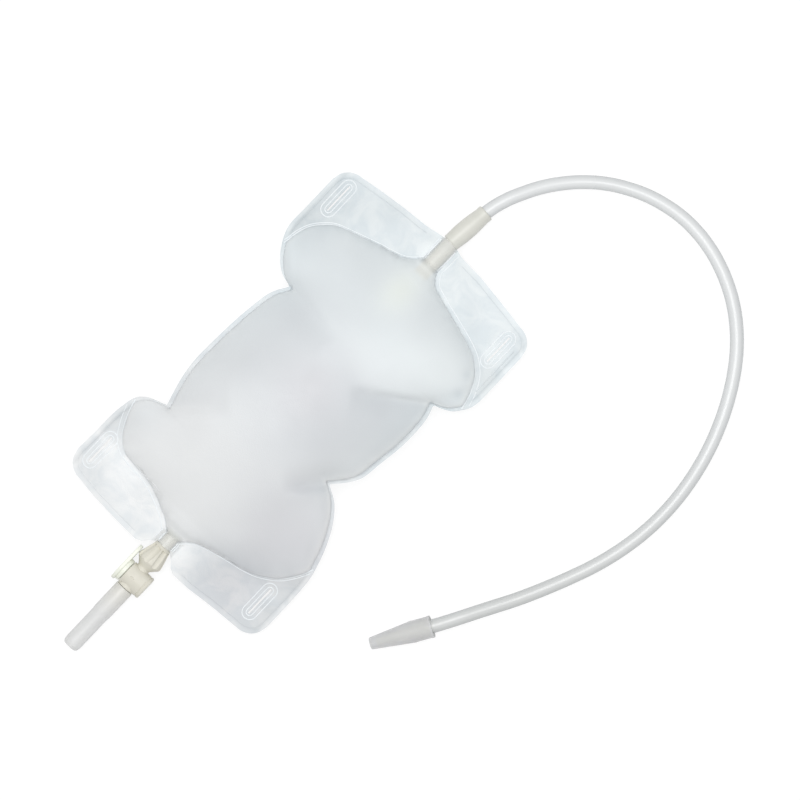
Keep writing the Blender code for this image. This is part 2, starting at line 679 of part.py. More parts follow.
def catheter_connector(mat):
    """A socket for the tube, a grip ring, and a stepped tapered nozzle."""
    socket = TUBE_RADIUS + GAP
    outer = socket + SOCKET_WALL
    face = SOCKET_INSET
    floor = face + SOCKET_LENGTH
    root = floor + SOCKET_FLOOR
    tip = root + NOZZLE_LENGTH
    nozzle = []
    for i in range(NOZZLE_STEPS):
        t0, t1 = i / NOZZLE_STEPS, (i + 1) / NOZZLE_STEPS
        r0 = NOZZLE_ROOT + (NOZZLE_TIP - NOZZLE_ROOT) * t0
        r1 = NOZZLE_ROOT + (NOZZLE_TIP - NOZZLE_ROOT) * t1
        nozzle += [(r0 - 0.35 * MM, root + NOZZLE_LENGTH * t0), (r1, root + NOZZLE_LENGTH * (t0 + 0.25 * (t1 - t0)))]
        nozzle += [(r1, root + NOZZLE_LENGTH * t1)]
    profile = [(NOZZLE_BORE, tip)] + nozzle[::-1] + [
        (outer, root - SOCKET_FLOOR / 2),
        (outer, face),
        (socket, face),
        (socket, floor),
        (NOZZLE_BORE, floor),
    ]
    frame = connector_matrix()
    return turned("catheter_connector", profile, mat, frame.translation, frame.to_euler())


def protective_cap(mat):
    """A thin tapered cap with a flared skirt and a closed end."""
    lip = 0.25 * MM
    profile = [
        (0, CAP_LENGTH),
        (CAP_TIP - CAP_ROUND, CAP_LENGTH),
        (CAP_TIP, CAP_LENGTH - CAP_ROUND),
        (CAP_RADIUS, CAP_SKIRT),
        (CAP_RADIUS - lip, CAP_SKIRT - 1 * MM),
        (CAP_RADIUS - lip, 2 * MM),
        (CAP_RADIUS + lip, 1 * MM),
        (CAP_RADIUS + lip, 0),
        (CAP_RADIUS - CAP_WALL, 0),
        (CAP_RADIUS - CAP_WALL, CAP_SKIRT),
        (CAP_TIP - CAP_WALL, CAP_LENGTH - CAP_ROUND),
        (CAP_TIP - CAP_WALL, CAP_LENGTH - CAP_WALL),
        (0, CAP_LENGTH - CAP_WALL),
    ]
    frame = connector_matrix()
    return turned("protective_cap", profile, mat, frame.translation, frame.to_euler(), ring=False)


def inlet_tube(mat):
    """The hose as one smooth curve, from inside the coupling to inside the connector's socket."""
    start = coupling_matrix()
    end = connector_matrix()
    hold = COUPLING_LENGTH - TUBE_GRIP
    grip_end = SOCKET_INSET + SOCKET_LENGTH - GAP
    clear = 0.5 * MM
    route = [start @ Vector((0, 0, hold)), start @ Vector((0, 0, COUPLING_LENGTH + clear))]
    route += [Vector((x * MM, y * MM, TUBE_REST + rise * MM)) for x, y, rise in TUBE_ROUTE]
    route += [end @ Vector((0, 0, 0)), end @ Vector((0, 0, grip_end))]
    line = smooth_curve(route, TUBE_STEP, TUBE_GRIP + clear, grip_end)
    curve = bpy.data.curves.new("inlet_tube", "CURVE")
    curve.dimensions = "3D"
    curve.bevel_depth = TUBE_RADIUS
    curve.bevel_resolution = 3
    curve.use_fill_caps = True
    spline = curve.splines.new("POLY")
    spline.points.add(len(line) - 1)
    for point, (x, y, z) in zip(spline.points, line):
        point.co = (x, y, z, 1)
    obj = bpy.data.objects.new("inlet_tube", curve)
    parts.objects.link(obj)
    obj.parent = bag
    curve.materials.append(mat)
    return obj


# Outlet and tap


def outlet_port(mat):
    length = OUTLET_FROM - (COLLAR_FROM - SOCKET_DEPTH)
    bore = OUTLET_RADIUS - OUTLET_WALL
    chamfer = 0.4 * MM
    profile = [
        (bore, length),
        (OUTLET_RADIUS - chamfer, length),
        (OUTLET_RADIUS, length - chamfer),
        (OUTLET_RADIUS, chamfer),
        (OUTLET_RADIUS - chamfer, 0),
        (bore, 0),
    ]
    return turned("outlet_port", profile, mat, (0, OUTLET_FROM, PORT_LEVEL), ALONG_DOWN)


def tap_body(mat):
    """Flared collar, neck, cross barrel and barbed spigot, bored for the flow and for the plug."""
    socket = OUTLET_RADIUS + GAP
    rear = BARREL_AT + 0.5 * BARREL_RADIUS
    barb = SPIGOT_RADIUS + SPIGOT_BARB
    outer = [
        (0, SPIGOT_END),
        (SPIGOT_RADIUS - 0.6 * MM, SPIGOT_END),
        (barb, SPIGOT_END - 3 * MM),
        (SPIGOT_RADIUS - 0.2 * MM, SPIGOT_END - 3.6 * MM),
        (SPIGOT_RADIUS - 0.2 * MM, rear),
        (NECK_RADIUS, rear - 1 * MM),
        (NECK_RADIUS, COLLAR_LENGTH),
        (COLLAR_RADIUS, 0.68 * COLLAR_LENGTH),
        (COLLAR_RADIUS - 0.2 * MM, 0.6 * COLLAR_LENGTH),
        (COLLAR_STEP, 0.24 * COLLAR_LENGTH),
        (COLLAR_MOUTH, 0),
        (socket, 0),
        (socket, SOCKET_DEPTH + GAP),
        (0, SOCKET_DEPTH + GAP),
    ]
    body = turned("tap_body", outer, mat, (0, COLLAR_FROM, PORT_LEVEL), ALONG_DOWN, ring=False)
    r, low, high = BARREL_RADIUS, BARREL_LEFT, BARREL_RIGHT
    barrel = [
        (0, high),
        (r - BARREL_ROUND, high),
        (r - 0.3 * BARREL_ROUND, high - 0.3 * BARREL_ROUND),
        (r, high - BARREL_ROUND),
        (r, low + 0.4 * MM),
        (r - 0.4 * MM, low),
        (0, low),
    ]
    centre = (0, TAP_Y, PORT_LEVEL)
    boolean(body, turned_cutter("barrel", barrel, centre, crosswise(0.5)), "UNION")
    shelf = high - HEAD_THICK - GAP
    chamber = [
        (0, high + 1 * MM),
        (HEAD_RADIUS + GAP, high + 1 * MM),
        (HEAD_RADIUS + GAP, shelf),
        (PLUG_RADIUS + GAP, shelf),
        (PLUG_RADIUS + GAP, low - 1 * MM),
        (0, low - 1 * MM),
    ]
    boolean(body, turned_cutter("plug_chamber", chamber, centre, crosswise(0.3)))
    bore = rod(FLOW_BORE, SOCKET_DEPTH - 1 * MM, SPIGOT_END + 1 * MM)
    boolean(body, turned_cutter("flow_bore", bore, (0, COLLAR_FROM, PORT_LEVEL), ALONG_DOWN))
    return body


def tap_lever(mat):
    """Plug with its snap head, hub and flat lever, turned about the barrel's axis."""
    low = BARREL_LEFT - GAP
    hub_end = LEVER_INNER - LEVER_THICK / 2
    head = BARREL_RIGHT - HEAD_THICK
    profile = [
        (0, BARREL_RIGHT),
        (HEAD_RADIUS - 0.5 * MM, BARREL_RIGHT),
        (HEAD_RADIUS, head + 0.4 * MM),
        (HEAD_RADIUS, head),
        (PLUG_RADIUS, head),
        (PLUG_RADIUS, low),
        (HUB_RADIUS, low),
        (HUB_RADIUS, hub_end),
        (0, hub_end),
    ]
    centre = (0, TAP_Y, PORT_LEVEL)
    lever = turned("tap_lever", profile, mat, centre, crosswise(0), ring=False)
    outline = arc(0, LEVER_REACH - LEVER_HALF, LEVER_HALF, 0, 180, 13)
    outline += arc(0, 0, LEVER_TAIL, 205, 335, 15)
    plate = plate_mesh("lever_plate", outline, LEVER_THICK)
    middle = (LEVER_INNER - LEVER_THICK / 2, TAP_Y, PORT_LEVEL)
    boolean(lever, add_cutter("lever_plate", plate, middle, crosswise(0)), "UNION")
    reach = PLUG_RADIUS + 1 * MM
    boolean(lever, turned_cutter("plug_bore", rod(PLUG_BORE, -reach, reach), centre, (0, 0, 0)))
    return lever


def outlet_spout(mat):
    """A soft tube stretched over the spigot, slimmer past it, with a rounded end."""
    length = SPOUT_LENGTH
    inner = SPIGOT_RADIUS + SPIGOT_BARB + GAP
    stretched = inner + SPOUT_WALL - 0.25 * MM
    free_bore = inner - SPOUT_SLIM
    free = stretched - SPOUT_SLIM
    grip = SPOUT_FROM - (COLLAR_FROM - SPIGOT_END) + GAP
    nose = [
        (free - (free - SPOUT_MOUTH - 0.7 * MM) * (1 - math.cos(a)), length - SPOUT_NOSE * (1 - math.sin(a)))
        for a in np.radians([90, 70, 50, 30, 12, 0])
    ]
    profile = [(SPOUT_MOUTH, length)] + nose + [
        (free, grip + 1.5 * MM),
        (stretched, grip),
        (stretched, 0.3 * MM),
        (stretched - 0.3 * MM, 0),
        (inner, 0),
        (inner, grip),
        (free_bore, grip + 0.6 * MM),
        (free_bore, length - SPOUT_NOSE),
    ]
    return turned("outlet_spout", profile, mat, (0, SPOUT_FROM, PORT_LEVEL), ALONG_DOWN)


clear_scene()
parts = new_collection("urine_drainage_bag")
cutters = new_collection("cutters")
bag = bpy.data.objects.new("bag_frame", None)
parts.objects.link(bag)
bag.location = (0, BAG_Y, 0)

clear_film = material("clear_film", (0.84, 0.88, 0.92), 0.35, 0.75)
port_pvc = material("port_pvc", (0.80, 0.80, 0.70), 0.4)
coupling_pvc = material("coupling_pvc", (0.80, 0.80, 0.73), 0.4)
hose_pvc = material("hose_pvc", (0.82, 0.85, 0.87), 0.3)
tap_ivory = material("tap_ivory", (0.74, 0.72, 0.58), 0.4)
lever_green = material("lever_green", (0.80, 0.83, 0.72), 0.4)
spout_clear = material("spout_clear", (0.78, 0.80, 0.80), 0.3)
connector_ivory = material("connector_ivory", (0.76, 0.74, 0.64), 0.4)
cap_clear = material("cap_clear", (0.78, 0.80, 0.79), 0.35, 0.8)

outline_cutter = add_cutter("bag_outline", plate_mesh("bag_outline", bag_outline(), 0.2))
chamber_cutter = add_cutter("chamber_outline", plate_mesh("chamber_outline", weld_outline(WELD), 0.21))
flange_cutter = add_cutter("flange_outline", plate_mesh("flange_outline", weld_outline(WELD + GAP), 0.21))

film("front_film", 1, clear_film)
film("back_film", -1, clear_film)
for along, end in ((1, "upper"), (-1, "lower")):
    for across, side in ((-1, "left"), (1, "right")):
        strap_flange(f"strap_flange_{end}_{side}", across, along, clear_film)
valve("non_return_valve", clear_film)
inlet_port(port_pvc)
tube_coupling(coupling_pvc)
inlet_tube(hose_pvc)
catheter_connector(connector_ivory)
protective_cap(cap_clear)
outlet_port(port_pvc)
tap_body(tap_ivory)
tap_lever(lever_green)
outlet_spout(spout_clear)
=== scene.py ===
import math

import bmesh
import bpy
import numpy as np
from mathutils import Matrix, Vector


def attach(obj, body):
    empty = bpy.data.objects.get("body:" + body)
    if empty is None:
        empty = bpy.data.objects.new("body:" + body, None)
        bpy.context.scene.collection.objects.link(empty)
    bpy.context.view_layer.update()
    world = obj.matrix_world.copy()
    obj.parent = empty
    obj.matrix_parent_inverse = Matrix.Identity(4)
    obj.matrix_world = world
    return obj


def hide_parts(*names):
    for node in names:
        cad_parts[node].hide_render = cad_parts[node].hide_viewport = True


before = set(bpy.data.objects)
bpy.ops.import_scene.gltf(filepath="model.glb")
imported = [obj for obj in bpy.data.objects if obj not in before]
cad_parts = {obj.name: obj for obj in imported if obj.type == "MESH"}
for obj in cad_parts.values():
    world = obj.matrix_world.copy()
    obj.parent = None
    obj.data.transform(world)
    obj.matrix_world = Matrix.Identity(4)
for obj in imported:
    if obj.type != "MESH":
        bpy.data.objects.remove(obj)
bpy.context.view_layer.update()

# Sizes are written in millimetres, in the bag's own frame: x across, y along from the bag's middle, z up.
mm = 0.001
bagY = 20.652  # y of the bag's middle in the row frame
portZ = 9.0  # axis of both ports
slack = 0.3  # room between touching pieces


# Tools that the pieces share


def startFresh():
    if bpy.context.object and bpy.context.object.mode != "OBJECT":
        bpy.ops.object.mode_set(mode="OBJECT")
    bpy.ops.object.select_all(action="DESELECT")


def only(obj):
    startFresh()
    obj.select_set(True)
    bpy.context.view_layer.objects.active = obj


def applyAll(obj):
    only(obj)
    for modifier in list(obj.modifiers):
        bpy.ops.object.modifier_apply(modifier=modifier.name)


def softenEdges(obj, width, segments=2, angle=35):
    bevel = obj.modifiers.new("softEdge", "BEVEL")
    bevel.width = width * mm
    bevel.segments = segments
    bevel.limit_method = "ANGLE"
    bevel.angle_limit = math.radians(angle)
    applyAll(obj)


def smoothShade(obj, angle=40):
    only(obj)
    bpy.ops.object.shade_smooth_by_angle(angle=math.radians(angle))


def place(obj, matrix):
    # the piece's place goes into its mesh, and its object stays at the origin
    obj.data.transform(obj.matrix_world)
    obj.matrix_world = Matrix.Identity(4)
    obj.data.transform(matrix)
    obj.data.update()


def newPiece(add, name=None, at=(0, 0, 0), **how):
    startFresh()
    add(location=at, **how)
    obj = bpy.context.object
    if name:
        obj.name = obj.data.name = name
    return obj


def linked(name, data):
    obj = bpy.data.objects.new(name, data)
    bpy.context.scene.collection.objects.link(obj)
    return obj


def newCurve(name, radius, resolution):
    curve = bpy.data.curves.new(name, "CURVE")
    curve.dimensions = "3D"
    curve.bevel_depth = radius * mm
    curve.bevel_resolution = resolution
    curve.use_fill_caps = True
    return curve


def addWall(obj, thickness):
    wall = obj.modifiers.new("wall", "SOLIDIFY")
    wall.thickness = thickness * mm
    wall.offset = 1
    applyAll(obj)


def faceOutward():
    bpy.ops.mesh.select_all(action="SELECT")
    bpy.ops.mesh.normals_make_consistent(inside=False)


def turnRings(name, rings, sides=64, ring=False):
    # a turned piece: each (radius, height) is grown from the last one by an extrude and a resize
    circle = bpy.ops.mesh.primitive_circle_add
    obj = newPiece(circle, name, vertices=sides, radius=rings[0][0] * mm, fill_type="NOTHING")
    bpy.ops.object.mode_set(mode="EDIT")
    bpy.ops.mesh.select_all(action="SELECT")
    bpy.ops.transform.translate(value=(0, 0, rings[0][1] * mm))
    for (r0, z0), (r1, z1) in zip(rings, rings[1:]):
        bpy.ops.mesh.extrude_region_move(TRANSFORM_OT_translate={"value": (0, 0, (z1 - z0) * mm)})
        bpy.ops.transform.resize(value=(r1 / r0, r1 / r0, 1), center_override=(0, 0, z1 * mm))
    if ring:
        bpy.ops.mesh.select_all(action="DESELECT")
        bpy.ops.mesh.select_non_manifold(extend=False)
        bpy.ops.mesh.bridge_edge_loops()
    else:
        bpy.ops.mesh.select_all(action="SELECT")
        bpy.ops.mesh.fill_holes(sides=0)
    faceOutward()
    bpy.ops.object.mode_set(mode="OBJECT")
    return obj


def cutWith(obj, tool, operation="DIFFERENCE"):
    modifier = obj.modifiers.new("cut", "BOOLEAN")
    modifier.operation = operation
    modifier.object = tool
    modifier.solver = "EXACT"
    applyAll(obj)
    bpy.data.objects.remove(tool, do_unlink=True)


def cutAt(obj, tool, matrix, operation="DIFFERENCE"):
    place(tool, matrix)
    cutWith(obj, tool, operation)


def joinInto(obj, others):
    startFresh()
    for one in (*others, obj):
        one.select_set(True)
    bpy.context.view_layer.objects.active = obj
    bpy.ops.object.join()
    return obj


def lengthsAlong(line):
    return np.concatenate([[0], np.cumsum(np.linalg.norm(np.diff(line, axis=0), axis=1))])


def smoothLine(points, step):
    # evenly spaced points on a centripetal Catmull-Rom curve through the given ones
    p = [np.array(q, float) for q in points]
    p = [p[0] * 2 - p[1]] + p + [p[-1] * 2 - p[-2]]
    dense = []
    for a, b, c, d in zip(p, p[1:], p[2:], p[3:]):
        ta, tb = 0.0, math.sqrt(np.linalg.norm(b - a))
        tc = tb + math.sqrt(np.linalg.norm(c - b))
        td = tc + math.sqrt(np.linalg.norm(d - c))
        for t in np.linspace(tb, tc, 24, endpoint=False):
            ab = a + (b - a) * (t - ta) / (tb - ta)
            bc = b + (c - b) * (t - tb) / (tc - tb)
            cd = c + (d - c) * (t - tc) / (td - tc)
            abc = ab + (bc - ab) * (t - ta) / (tc - ta)
            bcd = bc + (cd - bc) * (t - tb) / (td - tb)
            dense.append(abc + (bcd - abc) * (t - tb) / (tc - tb))
    dense.append(p[-2])
    line = np.array(dense)
    along = lengthsAlong(line)
    at = np.linspace(0, along[-1], max(2, round(along[-1] / step) + 1))
    return np.stack([np.interp(at, along, line[:, k]) for k in range(line.shape[1])], axis=1)


def turnBy(degrees, axis):
    return Matrix.Rotation(math.radians(degrees), 4, axis)


# these turn a turned piece's height to +y, to -y and to +x
alongUp, alongDown, crosswise = turnBy(-90, "X"), turnBy(90, "X"), turnBy(90, "Y")


def inBag(x, y, z):
    return Matrix.Translation((x * mm, (y + bagY) * mm, z * mm))


def turnedPiece(name, rings, sides, matrix, dressing, edges=None, angle=40, ring=True):
    obj = turnRings(name, rings, sides, ring)
    if edges:
        softenEdges(obj, *edges)
    place(obj, matrix)
    smoothShade(obj, angle)
    return dress(obj, *dressing)


# Camera, straight above the bag, turned as in the photograph

camera = {
    "centre": (40.27, 59.68),  # row frame
    "width": 455.5,
    "up": (-0.6878, 0.7259),
    "lens": 135.0,
    "level": 9.0,
}


def makeCamera():
    data = bpy.data.cameras.new("camera")
    data.lens = camera["lens"]
    data.sensor_width = 36.0
    obj = linked("camera", data)
    up = Vector((*camera["up"], 0)).normalized()
    right = up.cross(Vector((0, 0, 1)))
    distance = camera["width"] * mm * camera["lens"] / data.sensor_width
    turn = Matrix((right, up, (0, 0, 1))).transposed().to_4x4()
    x, y = camera["centre"]
    obj.matrix_world = Matrix.Translation((x * mm, y * mm, camera["level"] * mm + distance)) @ turn
    data.clip_end = 20
    bpy.context.scene.camera = obj


makeCamera()
print("camera made")


# Finishes. Each group gives a tone, a roughness and a height that change over the surface.


def newGroup(name, inputs, outputs):
    group = bpy.data.node_groups.new(name, "ShaderNodeTree")
    group.interface.new_socket(name="Vector", in_out="INPUT", socket_type="NodeSocketVector")
    for label, value in inputs.items():
        socket = group.interface.new_socket(name=label, in_out="INPUT", socket_type="NodeSocketFloat")
        socket.default_value = value
    for label in outputs:
        group.interface.new_socket(name=label, in_out="OUTPUT", socket_type="NodeSocketFloat")
    return group, group.nodes.new("NodeGroupInput"), group.nodes.new("NodeGroupOutput")


def feed(tree, node, values):
    # each value is a number, a colour or the socket that it comes from
    for label, given in values.items():
        socket = node.inputs[label]
        if isinstance(given, tuple):
            socket.default_value = (*given, 1)
        elif isinstance(given, (int, float)):
            socket.default_value = given
        else:
            tree.links.new(given, socket)


def noiseOf(tree, start, scale, detail, roughness=0.5, distortion=0.0):
    noise = tree.nodes.new("ShaderNodeTexNoise")
    feed(tree, noise, {"Vector": start.outputs["Vector"], "Scale": start.outputs[scale], "Detail": detail})
    feed(tree, noise, {"Roughness": roughness, "Distortion": distortion})
    return noise.outputs["Fac"]


def rangeOf(tree, value, low, high, outLow, outHigh, way="LINEAR"):
    node = tree.nodes.new("ShaderNodeMapRange")
    node.interpolation_type = way
    feed(tree, node, {"Value": value, "From Min": low, "From Max": high, "To Min": outLow, "To Max": outHigh})
    return node.outputs["Result"]


def mathOf(tree, operation, a, b):
    node = tree.nodes.new("ShaderNodeMath")
    node.operation = operation
    feed(tree, node, {0: a, 1: b})
    return node.outputs[0]


def mixOf(tree, share, a, b, way="MIX"):
    node = tree.nodes.new("ShaderNodeMix")
    node.data_type = "RGBA"
    node.blend_type = way
    feed(tree, node, {"Factor": share, "A": a, "B": b})
    return node.outputs["Result"]


def makeMouldedFinish():
    # soft clouds in the plastic and a fine skin on it
    inputs = {"Cloud Scale": 90.0, "Skin Scale": 2600.0, "Roughness": 0.35, "Roughness Spread": 0.08}
    group, start, end = newGroup("mouldedFinish", inputs, ("Tone", "Roughness", "Height"))
    cloud = noiseOf(group, start, "Cloud Scale", 3.0)
    skin = noiseOf(group, start, "Skin Scale", 2.0)
    plain = start.outputs["Roughness"]
    upper = mathOf(group, "ADD", plain, start.outputs["Roughness Spread"])
    feed(group, end, {
        "Tone": rangeOf(group, cloud, 0.3, 0.7, 0.0, 1.0),
        "Roughness": rangeOf(group, cloud, 0.3, 0.7, plain, upper),
        "Height": mathOf(group, "ADD", mathOf(group, "MULTIPLY", cloud, 0.35), skin),
    })
    return group


def makeFilmFinish():
    # milky vinyl film: broad clouds, a matt pressed grain, and soft creases
    inputs = {
        "Cloud Scale": 16.0,
        "Grain Scale": 1500.0,
        "Crease Scale": 34.0,
        "Crease Share": 5.0,
        "Mottle Scale": 75.0,
    }
    group, start, end = newGroup("filmFinish", inputs, ("Tone", "Roughness", "Height", "Mottle"))
    mottle = noiseOf(group, start, "Mottle Scale", 3.0, 0.6, 0.8)
    cloud = noiseOf(group, start, "Cloud Scale", 2.0)
    grain = noiseOf(group, start, "Grain Scale", 2.0)
    crease = noiseOf(group, start, "Crease Scale", 3.0, 0.45, 0.6)
    creases = mathOf(group, "MULTIPLY", crease, start.outputs["Crease Share"])
    feed(group, end, {
        "Tone": rangeOf(group, cloud, 0.32, 0.68, 0.0, 1.0),
        "Roughness": rangeOf(group, crease, 0.3, 0.7, 0.34, 0.46),
        "Height": mathOf(group, "ADD", creases, grain),
        "Mottle": rangeOf(group, mottle, 0.38, 0.62, 0.0, 1.0),
    })
    return group


mouldedFinish = makeMouldedFinish()
filmFinish = makeFilmFinish()


def finishMaterial(name, group, values, colours, bump,
                   alpha=1.0, coat=0.0, specular=0.5, limb=None, rim=None):
    mat = bpy.data.materials.new(name)
    mat.use_nodes = True
    tree = mat.node_tree
    shader = tree.nodes["Principled BSDF"]
    finish = tree.nodes.new("ShaderNodeGroup")
    finish.node_tree = group
    where = tree.nodes.new("ShaderNodeTexCoord").outputs["Object"]
    feed(tree, finish, {"Vector": where, **values})
    colour = mixOf(tree, finish.outputs["Tone"], *colours)
    if limb:  # painted shade: soft clear plastic is darkened where its face turns away, and "rim" is its alpha there
        turned = tree.nodes.new("ShaderNodeLayerWeight")
        turned.inputs["Blend"].default_value = 0.4
        colour = mixOf(tree, turned.outputs["Facing"], colour, limb, "MULTIPLY")
        if rim:
            alpha = rangeOf(tree, turned.outputs["Facing"], 0.0, 1.0, alpha, rim)
    skin = tree.nodes.new("ShaderNodeBump")
    feed(tree, skin, {"Strength": bump[0], "Distance": bump[1] * mm, "Height": finish.outputs["Height"]})
    feed(tree, shader, {
        "Base Color": colour, "Roughness": finish.outputs["Roughness"], "Normal": skin.outputs["Normal"],
        "Alpha": alpha, "Coat Weight": coat, "Coat Roughness": 0.2, "Specular IOR Level": specular,
    })
    return mat


white = (1.0, 1.0, 1.0)
# colours of the film's masks: the one at 0, then the one at 1
filmTints = {
    "flange": ((0.76, 0.775, 0.785), white),
    "mottle": ((0.895, 0.917, 0.935), white),
    # side and crest are mixed by the pillow's depth: crest, darker, is a painted shade over the deep middle,
    # and side a painted light by the weld
    "side": ((0.79, 0.825, 0.85), white),
    "crest": ((0.69, 0.70, 0.725), white),
    "cool": (white, (0.935, 0.985, 1.0)),
    "violet": (0.94, 0.937, 0.952),
    "warm": (0.935, 0.955, 0.925),
    "haze": (1.0, 1.0, 0.95),
    "alpha": (0.93, 0.2),
}


def makeFilmMaterial():
    # the film's masks: "chamber" is 1 inside the weld, "deep" rises to 1 at the crest, the mask of painted
    # light and shade is painted light at 1 and painted shade at 0, with the film's faint random clouds in it,
    # "cool" and "violet" are casts, "haze" is the valve's, "warm" lies over a port's inner end, and "clear"
    # is 1 round a port
    base = ((0.89, 0.89, 0.89), (0.94, 0.94, 0.94))
    mat = finishMaterial("milkyFilm", filmFinish, {}, base, (0.4, 0.22), specular=0.45)
    tree = mat.node_tree
    shader = tree.nodes["Principled BSDF"]
    clouds = shader.inputs["Base Color"].links[0].from_socket
    finish = next(n for n in tree.nodes if n.type == "GROUP")
    masks = {}
    for name in ("chamber", "deep", "paintedShadeAndClouds", "cool", "violet", "haze", "warm", "clear"):
        read = tree.nodes.new("ShaderNodeAttribute")
        read.attribute_name = name
        masks[name] = read.outputs["Fac"]
    tints = filmTints
    # the mask of painted light and shade lifts each tint from its painted shade at 0 to painted light at 1
    flange = mixOf(tree, masks["paintedShadeAndClouds"], *tints["flange"])
    flange = mixOf(tree, 1.0, flange, mixOf(tree, finish.outputs["Mottle"], *tints["mottle"]), "MULTIPLY")
    side = mixOf(tree, masks["paintedShadeAndClouds"], *tints["side"])
    crest = mixOf(tree, masks["paintedShadeAndClouds"], *tints["crest"])
    chamber = mixOf(tree, masks["haze"], mixOf(tree, masks["deep"], side, crest), tints["haze"])
    cast = mixOf(tree, masks["cool"], *tints["cool"])
    for name in ("violet", "warm"):
        cast = mixOf(tree, masks[name], cast, tints[name])
    colour = mixOf(tree, 1.0, clouds, mixOf(tree, masks["chamber"], flange, chamber), "MULTIPLY")
    colour = mixOf(tree, 1.0, colour, cast, "MULTIPLY")
    alpha = rangeOf(tree, masks["clear"], 0.0, 1.0, *tints["alpha"])
    feed(tree, shader, {"Base Color": colour, "Alpha": alpha})
    return mat


def moulded(name, low, high, bump=(0.15, 0.05), scale=90.0, rough=0.35, **more):
    values = {"Cloud Scale": scale, "Roughness": rough}
    return finishMaterial(name, mouldedFinish, values, (low, high), bump, **more)


def filmy(name, low, high, bump, scale=16.0, **more):
    return finishMaterial(name, filmFinish, {"Cloud Scale": scale}, (low, high), bump, **more)


finishes = {
    "film": makeFilmMaterial(),
    "bead": filmy("weldBead", (0.84, 0.885, 0.91), (0.90, 0.93, 0.945), (0.15, 0.08), 60.0, specular=0.6),
    "valve": filmy("valveFilm", (0.86, 0.89, 0.72), (0.90, 0.93, 0.78), (0.2, 0.1), alpha=0.7),
    "sleeve": moulded("sleeveVinyl", (0.765, 0.755, 0.712), (0.82, 0.81, 0.767), rough=0.3, coat=0.1),
    "coupling": moulded("couplingVinyl", (0.66, 0.66, 0.605), (0.72, 0.72, 0.665), rough=0.32),
    "hose": moulded(
        "hoseVinyl", (0.74, 0.755, 0.76), (0.80, 0.815, 0.82), (0.1, 0.04), 14.0, 0.24,
        coat=0.15, limb=(0.60, 0.62, 0.63),
    ),
    "tap": moulded(
        "tapIvory", (0.68, 0.66, 0.575), (0.75, 0.73, 0.645), (0.2, 0.05), rough=0.44, specular=0.35
    ),
    "lever": moulded("leverIvory", (0.86, 0.88, 0.78), (0.91, 0.93, 0.83), (0.2, 0.05), rough=0.36),
    "spout": moulded(
        "spoutVinyl", (0.88, 0.885, 0.88), (0.93, 0.935, 0.93), (0.12, 0.05), 50.0, 0.28,
        coat=0.15, alpha=0.72, limb=(0.72, 0.73, 0.73), rim=0.95,
    ),
    "connector": moulded("connectorIvory", (0.68, 0.68, 0.49), (0.75, 0.75, 0.56), rough=0.33),
    "cap": moulded(
        "capFrosted", (0.79, 0.795, 0.805), (0.85, 0.855, 0.865), scale=60.0, rough=0.4,
        alpha=0.5, limb=(0.78, 0.78, 0.78), rim=0.85,
    ),
}


def tintAlong(name, none, full, tint):
    # the tint comes in from one y of the row frame to another
    tree = finishes[name].node_tree
    base = tree.nodes["Principled BSDF"].inputs["Base Color"]
    split = tree.nodes.new("ShaderNodeSeparateXYZ")
    where = next(n for n in tree.nodes if n.type == "TEX_COORD")
    tree.links.new(where.outputs["Object"], split.inputs[0])
    share = rangeOf(tree, split.outputs["Y"], none, full, 0.0, 1.0, "SMOOTHSTEP")
    tree.links.new(mixOf(tree, share, base.links[0].from_socket, tint, "MULTIPLY"), base)


tintAlong("hose", 0.2, -0.01, (0.88, 0.88, 0.867))  # painted shade, greyer towards its connector
tintAlong("spout", -0.148, -0.122, (0.985, 0.965, 0.91))  # the tap's spigot is seen through its upper end


def dress(obj, finish, body, slot, *nodes):
    obj.data.materials.clear()
    obj.data.materials.append(finishes[finish])
    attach(obj, body)
    if nodes:
        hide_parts(*nodes)
    return obj


# Inlet hose, with its capped connector: the cord's route comes first

hose = {
    "radius": 4,
    "rest": 4.1,  # height of its centreline where it lies
    "length": 0.48,  # m
    # x, y and height above its rest
    "route": [
        (4.6, 159.5, 4.6), (8.2, 168.5, 3.9), (13.6, 179.5, 2.7), (22.6, 192.5, 1.3), (38.5, 208, 0.2),
        (61, 220.3, 0), (83.7, 225.4, 0), (102, 224.8, 0), (120.5, 220, 0), (141, 209.4, 0),
        (159.8, 192.4, 0), (175.5, 169.2, 0), (187, 142, 0), (193, 115, 0), (194.2, 90.2, 0),
        (191.8, 69, 0), (186.6, 48.5, 0), (178, 26.1, 0), (167.6, 3.6, 0.4), (157, -15.5, 2.4),
        (149.3, -29.5, 4.2),
    ],
}
coupling = {
    "from": 126.3,  # y of the port's end, with its room
    "lean": 6.0,  # degrees
    "length": 24.0,
    "radius": 5.75,
    "grip": 12.0,
}
cap = {
    "at": (142.3, -42.0),
    "heading": 239.5,
    "length": 37.0,
    "wall": 0.8,
    "mouth": 6.4,
    "tip": 3.55,
    "skirt": 11.2,
    "round": 0.7,
}


def couplingFrame():
    return inBag(0, coupling["from"], portZ) @ turnBy(-coupling["lean"], "Z") @ alongUp


def capFrame():
    pitch = math.atan((cap["mouth"] - cap["tip"]) / (cap["length"] - cap["round"] - cap["skirt"]))
    level = cap["skirt"] * math.sin(pitch) + cap["mouth"] * math.cos(pitch)
    fall = Matrix.Rotation(math.radians(90) + pitch, 4, "Y")
    return inBag(*cap["at"], level) @ turnBy(cap["heading"], "Z") @ fall


